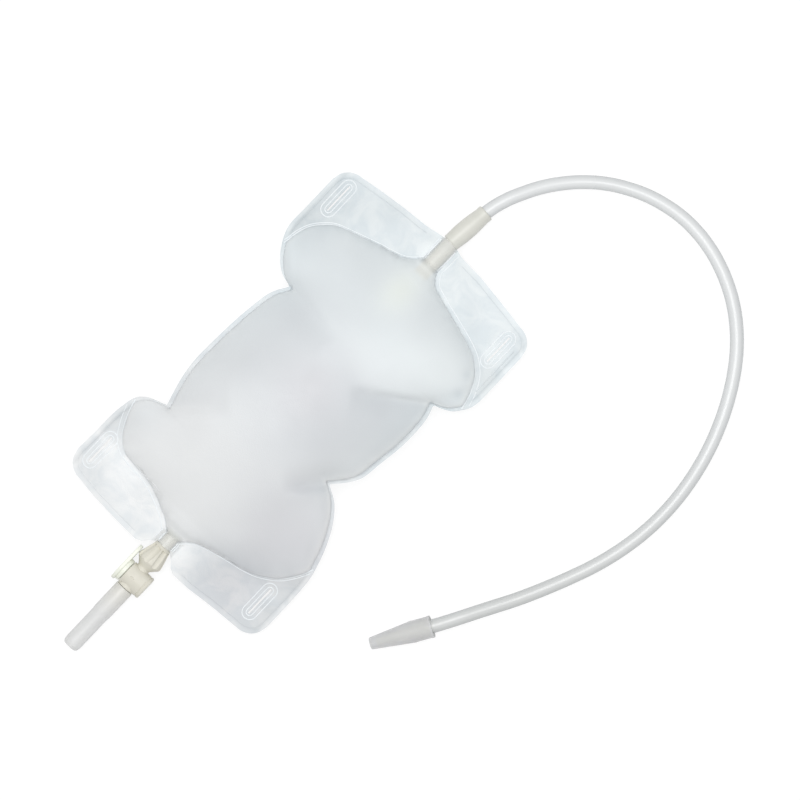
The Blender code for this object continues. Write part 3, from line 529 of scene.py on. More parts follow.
def makeHose():
    near, far = couplingFrame(), capFrame()
    inSocket = (coupling["length"] - coupling["grip"], coupling["length"] + 0.5)
    route = [near @ Vector((0, 0, h * mm)) for h in inSocket]
    route += [Vector((x * mm, (y + bagY) * mm, (hose["rest"] + up) * mm)) for x, y, up in hose["route"]]
    route += [far @ Vector((0, 0, h * mm)) for h in (0, 9.7)]
    line = smoothLine(route, 12 * mm)
    curve = newCurve("inletHose", hose["radius"], 8)
    curve.resolution_u = 6
    spline = curve.splines.new("BEZIER")
    spline.bezier_points.add(len(line) - 1)
    for point, co in zip(spline.bezier_points, line):
        point.co = co
        point.handle_left_type = point.handle_right_type = "AUTO"
    return dress(linked("inletHose", curve), "hose", "bag", "hose_pvc", "inlet_tube")


inletHose = makeHose()


def makeCap():
    w, mouth, tip, skirt, length = cap["wall"], cap["mouth"], cap["tip"], cap["skirt"], cap["length"]
    lip = 0.12
    rings = [
        (0.6, length - w), (tip - w - 0.3, length - w), (tip - w, length - cap["round"] - w),
        (mouth - w, skirt), (mouth - w, 0.2), (mouth - w + 0.2, 0), (mouth + lip, 0), (mouth + lip, 1),
        (mouth - lip, 2), (mouth - lip, skirt - 1), (mouth, skirt), (tip, length - cap["round"]),
        (tip - 0.25, length - 0.2), (tip - cap["round"], length), (0.6, length),
    ]
    dressing = ("cap", "bag", "cap_clear", "protective_cap")
    return turnedPiece("protectiveCap", rings, 64, capFrame(), dressing, (0.12, 2), ring=False)


def makeConnector():
    face, floor, root, tip = 1.5, 10.0, 11.2, 33.2
    barbs, step = 3, 0.6
    rings = [(1.5, tip), (1.5, floor), (4.3, floor), (4.3, face), (5.3, face), (5.3, floor + 0.6)]
    for i in range(barbs):
        r0, r1 = 4.1 - step * i, 4.1 - step * (i + 1)
        z0, z1 = root + (tip - root) * i / barbs, root + (tip - root) * (i + 1) / barbs
        rings += [(r0 - 0.35, z0), (r1, z0 + 0.25 * (z1 - z0)), (r1, z1 - 0.01)]
    dressing = ("connector", "bag", "connector_ivory", "catheter_connector")
    return turnedPiece("catheterConnector", rings, 64, capFrame(), dressing, (0.1, 1))


protectiveCap = makeCap()
catheterConnector = makeConnector()
print("hose and its capped connector made")


# Films. The outline, the weld lines and the folds were read from the photograph as a few points each.

films = {
    "thickness": 0.3,
    # the two sides of the cut edge, from crimp to crimp
    "leftSide": [
        [(-74, -107), (-73.4, -95), (-73, -80), (-72, -72), (-69.5, -63), (-65, -58.5), (-59.5, -56),
         (-53.5, -54)],
        [(-53.5, -54), (-56, -45), (-58.3, -35), (-59.5, -25), (-59.3, -10), (-58.5, 5), (-57, 20),
         (-54.5, 33), (-49, 43)],
        [(-49, 43), (-54, 44), (-59.5, 46.5), (-65, 51.5), (-69, 57), (-72, 62.5), (-73.8, 69), (-74, 80),
         (-74, 104)],
    ],
    "rightSide": [
        [(74.2, -107), (74, -85), (73, -70), (70.5, -60), (67, -50), (61, -38), (53, -28.5), (44, -23)],
        [(44, -23), (51, -15), (55, -8), (57, 5), (59, 20), (59.3, 33), (58.5, 42), (56, 50)],
        [(56, 50), (61, 51.8), (66.5, 55), (69, 58), (72, 62.5), (73.5, 68), (73.8, 80), (73.8, 104)],
    ],
    "corner": 12,  # radius of the flanges' corners
    # the two ends of the cut edge
    "topEdge": [
        (-62, 116), (-49, 118), (-34, 120), (-17, 121.3), (-5, 123.6), (5, 123.4), (11, 121.8),
        (26, 121.2), (46, 118.5), (61.8, 116),
    ],
    "bottomEdge": [
        (-62, -119), (-49, -120.6), (-29, -121.7), (-13.5, -122), (-10.6, -119.8), (-8.5, -117.4),
        (-6.7, -114.6), (-5, -113.7), (5, -113.7), (6.7, -114.6), (8.5, -117.4), (10.6, -119.8),
        (13.5, -122), (26, -122), (46, -120), (62.2, -119),
    ],
    "seam": 2.6,  # width of the weld along the chamber's sides
    # the weld lines, from the sides to the ports
    "topWeldLeft": [
        (-69.5, 55), (-68, 61), (-67, 68), (-64, 76), (-59, 82), (-54, 86), (-46, 89), (-37, 92),
        (-29, 94.7), (-21, 96.8), (-14, 99.2), (-9, 102.8), (-5, 107),
    ],
    "topWeldRight": [
        (69.5, 57), (68, 63), (66, 70), (61, 79), (56, 83.5), (51, 86.5), (41, 90), (31, 92.8), (21, 95.6),
        (11, 99), (7.5, 102.5), (5, 107),
    ],
    "bottomWeldLeft": [
        (-70.5, -58), (-69, -63), (-67, -70), (-64, -78), (-59, -86), (-53, -90), (-44, -91.4),
        (-34, -92.3), (-27, -94), (-19, -97.3), (-11, -101.3), (-4.3, -106.5),
    ],
    "bottomWeldRight": [
        (71.5, -60), (70, -66), (66, -74.3), (60.8, -81.3), (55.3, -85.8), (48.6, -89.7), (41, -92.2),
        (31, -94.2), (21, -96.7), (11, -100.4), (4.3, -106.5),
    ],
    "inletSleeve": 5,  # half widths of the necks round the ports
    "outletSleeve": 4.3,
    "crown": 24.6,  # height of the film over the weld
    "middleLevel": 22.5,  # height of the weld at the bag's middle
    "flatFrom": 92,  # |y| where the weld is down at the ports' height
    "droop": 3.4,  # fall of the lower flanges' corners
    "lift": 2,  # rise of the upper ones
    "neck": (98, 9),  # |y| where the necks start, and the length over which they close
    # the lobes' crests lie off the middle: x, y, reach in x and in y, share
    "crests": [
        (30, 64, 30, 26, 0.1), (-30, -62, 34, 24, 0.07),
    ],
    # patches of painted light (share above 0) and painted shade (share below 0): x, y, radius, share
    "paintedShadeAndClouds": [
        (28, 62, 26, 0.32), (-30, -66, 36, 0.22), (38, 108, 30, 0.25), (-42, -107, 34, 0.4),
        (0, -45, 40, 0.05), (50, 2, 26, 0.1), (52, -62, 28, -0.12), (44, -104, 24, -0.45),
        (-66, 92, 18, -0.6), (50, 68, 13, 0.2), (62, 64, 3, -0.4), (58, 75, 2.5, -0.3), (61, 57, 6, -0.25),
        (-47, 87, 12, 0.3), (-60, -66, 15, -0.35), (67, -77, 4, -0.6), (67, -100, 5, -0.3),
        (0, -20, 26, -0.1), (-7, -110, 5, 0.5), (7, -110, 4, 0.4), (-6, 112, 4, 0.3), (0, 12, 34, -0.18),
        (37, -32, 5, -0.3), (32, -37, 5, -0.25), (42, -27, 4, -0.2), (0, -88, 24, 0.2), (0, 84, 13, 0.3),
        (0, 108, 9, 0.5), (-24, 92, 14, 0.15), (-62, 62, 10, -0.1), (10, -112, 9, 0.4),
    ],
    # patches with a violet cast, in the same form
    "violet": [
        (0, 8, 22, 0.8), (52, -62, 26, 0.95), (42, -106, 20, 1),
    ],
    # painted light and shade along the edges between the lobes: line, then the share above and below it and
    # the softness at each x
    "edges": [
        {
            "line": [(-49, 43), (-25, 41), (0, 38), (14, 33), (25, 30.5), (38, 38), (56, 50)],
            "above": ((-49, 0, 30, 56), (0.08, 0.12, 0.14, 0.1)),
            "below": ((-49, 0, 30, 56), (-0.1, -0.12, -0.32, -0.35)),
            "soft": ((-49, 0, 30, 56), (7, 8, 3, 1.5)),
        },
        {
            "line": [(-53.5, -54), (-44, -44), (-35, -35), (-10, -34), (20, -42), (30, -38), (44, -23)],
            "above": ((-53, -20, 20, 44), (-0.1, -0.02, 0, 0)),
            "below": ((-53, -20, 20, 44), (0.2, 0.1, -0.05, -0.1)),
            "soft": ((-53, -20, 20, 44), (2, 6, 6, 1.5)),
        },
    ],
}
# Folds that run in from the four crimps. "over" is the side that bulges over the other: 1 is left of the
# heading and -1 right.
foldLeadIn = 14.0  # how far a fold starts behind its crimp
folds = [
    {
        "from": (-49, 43), "heading": -10, "length": 40, "depth": 0.17,
        "steep": 5, "gentle": 13, "over": 1,
    },
    {
        "from": (56, 50), "heading": -145, "length": 46, "depth": 0.36,
        "steep": 2.8, "gentle": 14, "over": -1,
    },
    {
        "from": (-53.5, -54), "heading": 43, "length": 36, "depth": 0.26,
        "steep": 4, "gentle": 12, "over": -1,
    },
    {
        "from": (44, -23), "heading": -134, "length": 25, "depth": 0.4,
        "steep": 3.4, "gentle": 8, "over": 1,
    },
]


def xOnSide(side, y):
    # x of one side of the cut edge at each y
    pieces = [smoothLine(piece, 0.5) for piece in films[side]]
    line = np.concatenate(pieces)
    order = np.argsort(line[:, 1], kind="stable")
    return np.interp(y, line[order, 1], line[order, 0])


def edgeY(edge, sign, x):
    # y of the top or bottom cut edge at each x, with its round corners
    line = np.array(films[edge])
    y = np.interp(x, line[:, 0], line[:, 1])
    r = films["corner"]
    for cx, beyond in ((line[0, 0], x < line[0, 0]), (line[-1, 0], x > line[-1, 0])):
        reach = np.clip(np.abs(x - cx), 0, r)
        level = line[0, 1] if cx < 0 else line[-1, 1]
        y = np.where(beyond, level - sign * (r - np.sqrt(r * r - reach * reach)), y)
    return y


def weldX(weld, sleeve, side, y):
    # x of the weld line at each |y|, from the straight side to the port's sleeve
    line = smoothLine(films[weld], 0.7)
    at, xs = np.abs(line[:, 1]), np.abs(line[:, 0])
    order = np.argsort(at, kind="stable")
    return side * np.interp(np.abs(y), at[order], xs[order], right=films[sleeve])


def chamberEdge(side, y):
    # x of the chamber's left (-1) or right (1) edge at each y
    name = "Left" if side < 0 else "Right"
    upper = weldX("topWeld" + name, "inletSleeve", side, y)
    lower = weldX("bottomWeld" + name, "outletSleeve", side, y)
    weld = np.where(y > 0, upper, lower)
    outer = xOnSide("leftSide" if side < 0 else "rightSide", y) - side * films["seam"]
    return side * np.minimum(np.abs(weld), np.abs(outer))


def weldLevel(y):
    t = np.clip(np.abs(y) / films["flatFrom"], 0, 1)
    return portZ + (films["middleLevel"] - portZ) * (1 - t**3) ** 1.5


solver = {"step": 1.0, "halfX": 80, "halfY": 128, "rounds": 900, "overshoot": 1.94}


def pillow():
    # the height of an even membrane over the chamber: the films rise with its root
    step = solver["step"]
    xs = np.arange(-solver["halfX"], solver["halfX"] + 1, step)
    ys = np.arange(-solver["halfY"], solver["halfY"] + 1, step)
    left, right = chamberEdge(-1, ys), chamberEdge(1, ys)
    inside = (xs[None, :] > left[:, None]) & (xs[None, :] < right[:, None])
    u = np.zeros(inside.shape)
    load = step * step * 0.25
    parity = np.add.outer(np.arange(len(ys)), np.arange(len(xs))) % 2
    checks = [(parity == k) & inside for k in (0, 1)]
    for _ in range(solver["rounds"]):
        for check in checks:
            near = np.zeros_like(u)
            near[1:-1, 1:-1] = 0.25 * (u[:-2, 1:-1] + u[2:, 1:-1] + u[1:-1, :-2] + u[1:-1, 2:]) + load
            u = np.where(check, u + solver["overshoot"] * (near - u), u)
    return xs, ys, u


gridX, gridY, membrane = pillow()
print("pillow solved, highest", round(float(membrane.max()), 1))


def sample(x, y):
    fx = np.clip((x - gridX[0]) / (gridX[1] - gridX[0]), 0, len(gridX) - 1.001)
    fy = np.clip((y - gridY[0]) / (gridY[1] - gridY[0]), 0, len(gridY) - 1.001)
    ix, iy = fx.astype(int), fy.astype(int)
    tx, ty = fx - ix, fy - iy
    m = membrane
    low = m[iy, ix] * (1 - tx) + m[iy, ix + 1] * tx
    high = m[iy + 1, ix] * (1 - tx) + m[iy + 1, ix + 1] * tx
    return low * (1 - ty) + high * ty


def foldShare(x, y):
    share = np.ones_like(x)
    for fold in folds:
        angle = math.radians(fold["heading"])
        dx, dy = x - fold["from"][0], y - fold["from"][1]
        along = dx * math.cos(angle) + dy * math.sin(angle)
        off = (dy * math.cos(angle) - dx * math.sin(angle)) * fold["over"]
        # the fold dies out along its length, and is steep on the side that bulges over
        fade = np.clip(1 - along / fold["length"], 0, 1) ** 0.8 * np.clip(1 + along / foldLeadIn, 0, 1)
        width = np.where(off > 0, fold["steep"], fold["gentle"])
        share -= fold["depth"] * fade * np.exp(-((off / width) ** 2))
    return share


puckers = {
    "depth": 0.135,
    "reach": 0.4,
    "wave": 8.5,
    "around": 430.0,  # length of the weld
    "squash": 0.62,  # width of the chamber over its length
    "flange": 0.9,
    "flangeWave": 30.0,
}


def waves(x, y, wave, seed):
    # uneven ripples: a few crossing waves whose directions never repeat
    total = np.zeros_like(x)
    for k in range(5):
        angle = seed + 2.4 * k
        size = wave * (1 + 0.23 * k)
        total += np.sin(2 * math.pi * (x * math.cos(angle) + y * math.sin(angle)) / size + 1.7 * k + seed)
    return total / 3


def puckerShare(x, y, deep):
    # short wrinkles that run in from the weld, across its line, and die out on the pillow
    angle = np.arctan2(y * puckers["squash"], x)
    turns = puckers["around"] / puckers["wave"]
    ripple = np.sin(turns * angle + 1.6 * waves(x, y, 60, 0.3)) * (0.6 + 0.4 * waves(x, y, 44, 1.9))
    near = np.clip(1 - deep / puckers["reach"], 0, 1)
    return puckers["depth"] * ripple * near


def bodyLean(x, y):
    lean = 1.0
    for cx, cy, reachX, reachY, share in films["crests"]:
        lean = lean + share * np.exp(-(((x - cx) / reachX) ** 2) - ((y - cy) / reachY) ** 2)
    return lean


def rise(x, y, left, right):
    # height of the film over the weld: round at the ports' sleeves, a pillow between them
    deep = np.sqrt(np.clip(sample(x, y) / membrane.max(), 0, None))
    body = films["crown"] * (deep * bodyLean(x, y) + puckerShare(x, y, deep) * np.sqrt(deep))
    half = np.maximum((right - left) / 2, 0.1)
    sleeve = np.where(y > 0, films["inletSleeve"], films["outletSleeve"])
    tube = sleeve * np.sqrt(np.clip(1 - ((x - (left + right) / 2) / half) ** 2, 0, 1))
    start, over = films["neck"]
    neck = np.clip((np.abs(y) - start) / over, 0, 1)
    neck = neck * neck * (3 - 2 * neck)
    inside = (x > left + 1e-6) & (x < right - 1e-6)
    return np.where(inside, np.maximum(body * foldShare(x, y) * (1 - neck), 0) + tube * neck, 0.0)


def flangeLevel(x, y):
    # the lower flanges fall a little towards their corners and the upper ones rise, in slow waves
    end = np.clip((np.abs(y) - 62.0) / 60.0, 0, 1)
    out = np.clip((np.abs(x) - 14.0) / 60.0, 0, 1)
    wave = puckers["flange"] * waves(x, y, puckers["flangeWave"], 0.9)
    wave = wave * np.clip(end * 3, 0, 1) * np.clip(out * 4, 0, 1)
    tilt = np.where(y > 0, films["lift"], -films["droop"])
    return weldLevel(y) + tilt * (out**1.4) * (end**1.2) + wave


def filmHeight(x, y, side):
    left, right = chamberEdge(-1, y), chamberEdge(1, y)
    z = flangeLevel(x, y) + side * (0.02 + rise(x, y, left, right))
    return z if side > 0 else np.maximum(z, films["thickness"] + 0.05)


grid = {
    "row": 1.7,  # distance between the films' rows
    "weldRows": (84, 104, 0.8),  # |y| where they lie closer, and how close
    "crimpRows": (6.0, 0.9),  # reach of the closer rows at a crimp, and how close
    "closest": 0.75,
    "endRows": 14,
    "flange": 30,  # counts of columns
    "chamber": 58,
}


def filmRows():
    ends = [films["bottomEdge"][0][1] + films["corner"], films["topEdge"][0][1] - films["corner"]]
    reach, close = grid["crimpRows"]
    rows = [side * y for side in (-1, 1) for y in np.arange(*grid["weldRows"])]
    rows += [fold["from"][1] + d for fold in folds for d in np.arange(-reach, reach + 0.1, close)]
    rows += list(np.arange(ends[0], ends[1], grid["row"]))
    kept = [float(ends[0])]
    for row in sorted(r for r in rows if ends[0] + 0.4 < r < ends[1] - 0.4):
        if row - kept[-1] > grid["closest"]:
            kept.append(row)
    return kept + [float(ends[1])]


def filmGrid():
    # rows follow the two ends' cut edges, and columns follow the weld line
    kept = filmRows()
    even = np.linspace(0, 1, grid["flange"] + 1)
    finer = 0.5 * even + 0.5 * even**2.2  # closer columns at the cut edge
    even = np.linspace(0, 1, grid["chamber"] + 1)
    inner = 0.65 * (1 - np.cos(math.pi * even)) / 2 + 0.35 * even
    across, ys = [], []
    for y in kept:
        row = np.array([y])
        a, b = xOnSide("leftSide", row)[0], xOnSide("rightSide", row)[0]
        left, right = chamberEdge(-1, row)[0], chamberEdge(1, row)[0]
        outward = b + (right - b) * finer[-2::-1]
        across.append(np.concatenate([a + (left - a) * finer[:-1], left + (right - left) * inner, outward]))
        ys.append(np.full(across[-1].shape, y))
    for edge, sign, end in (("bottomEdge", -1, 0), ("topEdge", 1, -1)):
        base, level = across[end], kept[end]
        target = edgeY(edge, sign, base)
        for t in np.linspace(0, 1, grid["endRows"] + 1)[1:]:
            at = 0 if end == 0 else len(across)
            across.insert(at, base)
            ys.insert(at, level + (target - level) * t)
    return np.array(across), np.array(ys)


filmX, filmY = filmGrid()


def slotOutline(width, length, steps=12):
    r = width / 2
    points = []
    for centre, start in ((length / 2 - r, 0), (r - length / 2, math.pi)):
        for k in range(steps + 1):
            angle = start + math.pi * k / steps
            points.append((r * math.cos(angle), centre + r * math.sin(angle)))
    return points


slots = {
    "at": [(-63.9, 98.2), (61.2, 98.2), (-64.2, -99.0), (61.2, -99.2)],
    "width": 0.9,  # the lips of each slot lie nearly shut, as with no strap in it
    "length": 18.8,
    "rim": (8.8, 25.6),
    "inner": (4.0, 21.0),
    "rimDepth": 0.36,
}


def newRod(sides, radius, length):
    rod = bpy.ops.mesh.primitive_cylinder_add
    return newPiece(rod, vertices=sides, radius=radius * mm, depth=length * mm)


def slotCutter(x, y):
    obj = newRod(48, slots["width"] / 2, 40)
    reach = (slots["length"] - slots["width"]) / 2 * mm
    for v in obj.data.vertices:  # the round is drawn out into a slot
        v.co.y += reach if v.co.y > 0.0 else -reach
    place(obj, inBag(x, y, 9))
    return obj


def beadAlong(name, points, radius, closed=False, finish="bead"):
    # a welded bead: a fine round line half sunk in the front film
    curve = newCurve(name, radius, 2)
    spline = curve.splines.new("POLY")
    spline.points.add(len(points) - 1)
    for point, (x, y, z) in zip(spline.points, points):
        point.co = (x * mm, (y + bagY) * mm, z * mm, 1)
    spline.use_cyclic_u = closed
    obj = linked(name, curve)
    only(obj)
    bpy.ops.object.convert(target="MESH")
    obj.data.materials.clear()
    obj.data.materials.append(finishes[finish])
    for face in obj.data.polygons:
        face.use_smooth = True
    return obj


def onFilm(points, side, lift):
    x, y = np.array([p[0] for p in points]), np.array([p[1] for p in points])
    z = flangeLevel(x, y) + side * (films["thickness"] + lift)
    return list(zip(x, y, z))


def makeFilm(name, side, nodes):
    z = filmHeight(filmX, filmY, side)
    rows, columns = filmX.shape
    points = np.stack([filmX * mm, (filmY + bagY) * mm, z * mm], axis=-1).reshape(-1, 3)
    faces = []
    for i in range(rows - 1):
        for j in range(columns - 1):
            a = i * columns + j
            face = (a, a + 1, a + 1 + columns, a + columns)
            faces.append(face if side > 0 else face[::-1])
    mesh = bpy.data.meshes.new(name)
    mesh.from_pydata([tuple(p) for p in points], [], faces)
    obj = linked(name, mesh)
    bm = bmesh.new()
    bm.from_mesh(mesh)
    bmesh.ops.remove_doubles(bm, verts=bm.verts, dist=0.00002)
    bmesh.ops.dissolve_degenerate(bm, edges=bm.edges, dist=0.00001)
    bm.to_mesh(mesh)
    bm.free()
    addWall(obj, films["thickness"])
    cutters = [slotCutter(x, y) for x, y in slots["at"]]
    cutWith(obj, joinInto(cutters[0], cutters[1:]))
    smoothShade(obj, 50)
    return dress(obj, "film", "bag", "clear_film", *nodes)


paint = {
    "soft": 1.2,  # blur of the weld's edge
    "lobeReach": 38,
    "clouds": (0.06, 38),  # depth and size
    # the cut edge's light is a painted highlight, and the line inside it a painted shade under the pressed
    # ridge
    "cut": {"side": 0.4, "end": 0.22, "to": 2.8},  # the light cut edge
    "line": {"left": 0.4, "right": 0.2, "at": 3.3, "half": 1.4},  # the dark line inside it
    "seam": {"left": 0.15, "right": 0.45, "half": 3.0},  # light from the floor under the seam
    "valve": (-2, 84, 9, 13),  # its patch: x, y, reach in x and in y
    "port": {"half": 5.2, "upper": 96.5, "lower": 102},  # |y| where the ports show through the film
    "clear": {"half": 6.2, "from": 103},
}


def paintMasks(obj):
    # masks for the film's material, worked out from each point's place
    mesh = obj.data
    co = np.empty(len(mesh.vertices) * 3)
    mesh.vertices.foreach_get("co", co)
    co = co.reshape(-1, 3) / mm
    x, y = co[:, 0], co[:, 1] - bagY
    far, off = np.abs(y), np.abs(x)
    left, right = chamberEdge(-1, y), chamberEdge(1, y)
    fromWeld = np.minimum(x - left, right - x)
    chamber = np.clip(fromWeld / paint["soft"] + 0.5, 0, 1)
    deep = np.sqrt(np.clip(sample(x, y) / membrane.max(), 0, 1))

    def patches(name):
        spots = films[name]
        return sum(share * np.exp(-((x - cx) ** 2 + (y - cy) ** 2) / r**2) for cx, cy, r, share in spots)

    # painted light and shade: soft patches about an even middle, then the lobes' edges, the film's random
    # clouds, and the marks at the cut edge and seam
    paintedShadeAndClouds = 0.5 + patches("paintedShadeAndClouds")
    # painted light and shade where the lobes meet, in soft edges that run from crimp to crimp
    for edge in films["edges"]:
        over = y - np.interp(x, *np.array(edge["line"]).T)
        share = np.where(over > 0, np.interp(x, *edge["above"]), np.interp(x, *edge["below"]))
        share = share * np.tanh(np.abs(over) / np.interp(x, *edge["soft"]))
        paintedShadeAndClouds += share * np.exp(-((over / paint["lobeReach"]) ** 2))
    depth, size = paint["clouds"]
    paintedShadeAndClouds += depth * waves(x, y, size, 2.2)
    # a painted highlight on the film's cut edge, and a painted shade line inside it along the flanges' sides,
    # under the pressed ridge
    cut, line, seam = paint["cut"], paint["line"], paint["seam"]
    fromSide = np.minimum(x - xOnSide("leftSide", y), xOnSide("rightSide", y) - x)
    fromEnd = np.minimum(edgeY("topEdge", 1, x) - y, y - edgeY("bottomEdge", -1, x))
    light = [cut[k] * np.clip((cut["to"] - d) / 1.2, 0, 1) for k, d in (("side", fromSide), ("end", fromEnd))]
    paintedShadeAndClouds += np.maximum(*light) * (1 - chamber) * np.clip((far - 60) / 6, 0, 1)
    dark = np.where(x < 0, line["left"], line["right"]) * (far > 64) * (1 - chamber)
    paintedShadeAndClouds -= dark * np.exp(-(((fromSide - line["at"]) / line["half"]) ** 2))
    lit = np.where(x > 0, seam["right"], seam["left"]) * chamber
    paintedShadeAndClouds += lit * np.exp(-((fromWeld / seam["half"]) ** 2))
    cx, cy, reachX, reachY = paint["valve"]
    port = paint["port"]
    warm = np.clip((port["half"] - off) / 1.6, 0, 1)
    warm = warm * np.clip((far - np.where(y > 0, port["upper"], port["lower"])) / 3, 0, 1)
    clear = np.clip((far - paint["clear"]["from"]) / 4, 0, 1) * np.clip(paint["clear"]["half"] - off, 0, 1)
    masks = {
        "chamber": chamber,
        "deep": np.clip(deep * 1.6 - 0.2, 0, 1),
        "paintedShadeAndClouds": np.clip(paintedShadeAndClouds, 0, 1),
        "haze": np.exp(-(((x - cx) / reachX) ** 2) - ((y - cy) / reachY) ** 2),
        "cool": np.clip(0.3 + (y + 50) / 160, 0.3, 1),
        "violet": np.clip(patches("violet"), 0, 1),
        "warm": warm,
        "clear": clear,
    }
    for name, values in masks.items():
        mask = mesh.attributes.new(name, "FLOAT", "POINT")
        mask.data.foreach_set("value", values.astype(np.float32))


flanges = [f"strap_flange_{end}_{side}" for end in ("upper", "lower") for side in ("left", "right")]
frontFilm = makeFilm("frontFilm", 1, ["front_film", *flanges])
backFilm = makeFilm("backFilm", -1, ["back_film"])
print("films made,", len(frontFilm.data.polygons), "faces each")


# Weld beads and the pressed rims of the slots, on the front film


def insideCut(line, room):
    # the points that lie at least this far inside the cut edge
    x, y = line[:, 0], line[:, 1]
    kept = (x > xOnSide("leftSide", y) + room) & (x < xOnSide("rightSide", y) - room)
    kept &= (y < edgeY("topEdge", 1, x) - room) & (y > edgeY("bottomEdge", -1, x) + room)
    return line[kept]


def ridgeLine(end, side, inset):
    # runs inside the cut edge from the side seam round the corner to beside the port
    edge = "topEdge" if end > 0 else "bottomEdge"
    sideName = "leftSide" if side < 0 else "rightSide"
    cx, level = films[edge][0 if side < 0 else -1]
    cx, level = abs(cx), level - end * films["corner"]
    r = films["corner"] - inset
    ys = np.arange(end * 66.0, level, end * 3.0)
    up = list(zip(xOnSide(sideName, ys) - side * inset, ys))
    turns = np.radians([0, 20, 40, 60, 80])
    bend = list(zip(side * (cx + r * np.cos(turns)), level + end * r * np.sin(turns)))
    xs = side * np.arange(cx - 4, 11 if end > 0 else 16, -4.0)
    along = list(zip(xs, edgeY(edge, end, xs) - end * inset))
    return smoothLine(up + bend + along, 1.2)


# each weld's end beside its port's sleeve, and how far its second, finer line lies outside the first
welds = {
    "topWeldLeft": (121.8, 1.2),
    "topWeldRight": (121.6, 2.8),
    "bottomWeldLeft": (-113.0, 2.8),
    "bottomWeldRight": (-113.0, 1.2),
}
strip = [(68.2, 72.0), (68.4, 84.0), (68.3, 104.0)]  # a pressed strip beside the upper right slot
# how far each bead's centre lies over the film's face, and its radius
beads = {"ridge": (-0.14, 0.34), "strip": (-0.1, 0.42), "weld": (-0.05, 0.46), "fine": (-0.12, 0.3)}


def makeBeads():
    made = []

    def add(name, kind, line, finish="bead"):
        lift, radius = beads[kind]
        made.append(beadAlong(name, onFilm(line, 1, lift), radius, False, finish))

    for end in (1, -1):
        for side in (-1, 1):
            add("ridge", "ridge", ridgeLine(end, side, paint["line"]["at"]), "film")
    add("ridge", "strip", smoothLine(strip, 1.2), "film")
    for weld, (sleeve, out) in welds.items():
        line = smoothLine(films[weld], 1.2)
        # out to the seam, and up beside the port's sleeve
        x0, y0 = line[-1, 0] * 1.1, line[-1, 1]
        beside = [(x0, y0 + (sleeve - y0) * t) for t in (0.35, 0.7, 1.0)]
        line = insideCut(smoothLine([(x * 1.004, y) for x, y in line] + beside, 1.2), 0.6)
        add("weldLine", "weld", line)
        way = np.gradient(line, axis=0)
        way /= np.linalg.norm(way, axis=1)[:, None]
        outward = np.sign(line[0, 0] * line[0, 1]) * np.stack([way[:, 1], -way[:, 0]], axis=1)
        add("weldLine", "fine", insideCut(line + out * outward, 0.8))
    for x, y in slots["at"]:
        for width, length in (slots["rim"], slots["inner"]):
            outline = resample([(x + a, y + b) for a, b in slotOutline(width, length)], 1.0)
            made.append(beadAlong("slotRim", onFilm(outline, 1, -0.1), slots["rimDepth"], True))
    return made


def resample(outline, step):
    ring = np.array(outline + [outline[0]])
    along = lengthsAlong(ring)
    at = np.linspace(0, along[-1], max(8, round(along[-1] / step)), endpoint=False)
    return list(zip(np.interp(at, along, ring[:, 0]), np.interp(at, along, ring[:, 1])))


joinInto(frontFilm, makeBeads())
paintMasks(frontFilm)
paintMasks(backFilm)
print("weld beads made")


# Valve inside the bag, seen as a pale yellow patch through the film

valve = {
    "grip": 5.0,
    "length": 35.0,
    "half": 8.0,
    "slit": 0.5,
    "from": 98.0,
    "sleeve": 5.0,
    "wall": 0.25,
    "rows": 20,
}


def makeValve():
    tube = bpy.ops.mesh.primitive_cylinder_add
    obj = newPiece(tube, "nonReturnValve", vertices=40, radius=1, depth=1, end_fill_type="NOTHING")
    bpy.ops.object.mode_set(mode="EDIT")
    bpy.ops.mesh.select_all(action="DESELECT")
    bm = bmesh.from_edit_mesh(obj.data)
    upright = [e for e in bm.edges if abs(e.verts[0].co.z - e.verts[1].co.z) > 0.5]
    bmesh.ops.subdivide_edges(bm, edges=upright, cuts=valve["rows"], use_grid_fill=True)
    for v in bm.verts:
        t = 0.5 - v.co.z
        held = valve["grip"] / valve["length"]
        flat = max(0.0, (t - held) / (1 - held))
        flat = flat * flat * (3 - 2 * flat)
        halfX = valve["sleeve"] + (valve["half"] - valve["sleeve"]) * flat
        halfZ = valve["sleeve"] + (valve["slit"] - valve["sleeve"]) * flat
        y = valve["from"] + valve["grip"] - valve["length"] * t
        a = math.atan2(v.co.y, v.co.x)
        level = float(weldLevel(np.array([y]))[0])
        v.co = Vector((halfX * math.cos(a), y + bagY, level + halfZ * math.sin(a))) * mm
    bmesh.update_edit_mesh(obj.data)
    faceOutward()
    bpy.ops.object.mode_set(mode="OBJECT")
    addWall(obj, valve["wall"])
    smoothShade(obj)
    return dress(obj, "valve", "bag", "clear_film", "non_return_valve")


makeValve()


# Ports and coupling

ports = {
    "inlet": {"radius": 4.7, "bore": 3.7, "from": 98.0, "to": 126.0},
    "outlet": {"radius": 4.0, "bore": 2.9, "from": -103.0, "to": -126.0},
}


def makePort(name, node, port, turn):
    length = abs(port["to"] - port["from"])
    r, b, e = port["radius"], port["bore"], 0.35
    rings = [(b, 0), (r - e, 0), (r - 0.1, 0.1), (r, e)]
    rings += [(r, length - e), (r - 0.1, length - 0.1), (r - e, length), (b, length)]
    dressing = ("sleeve", "bag", "port_pvc", node)
    return turnedPiece(name, rings, 64, inBag(0, port["from"], portZ) @ turn, dressing)


makePort("inletPort", "inlet_port", ports["inlet"], alongUp)
makePort("outletPort", "outlet_port", ports["outlet"], alongDown)


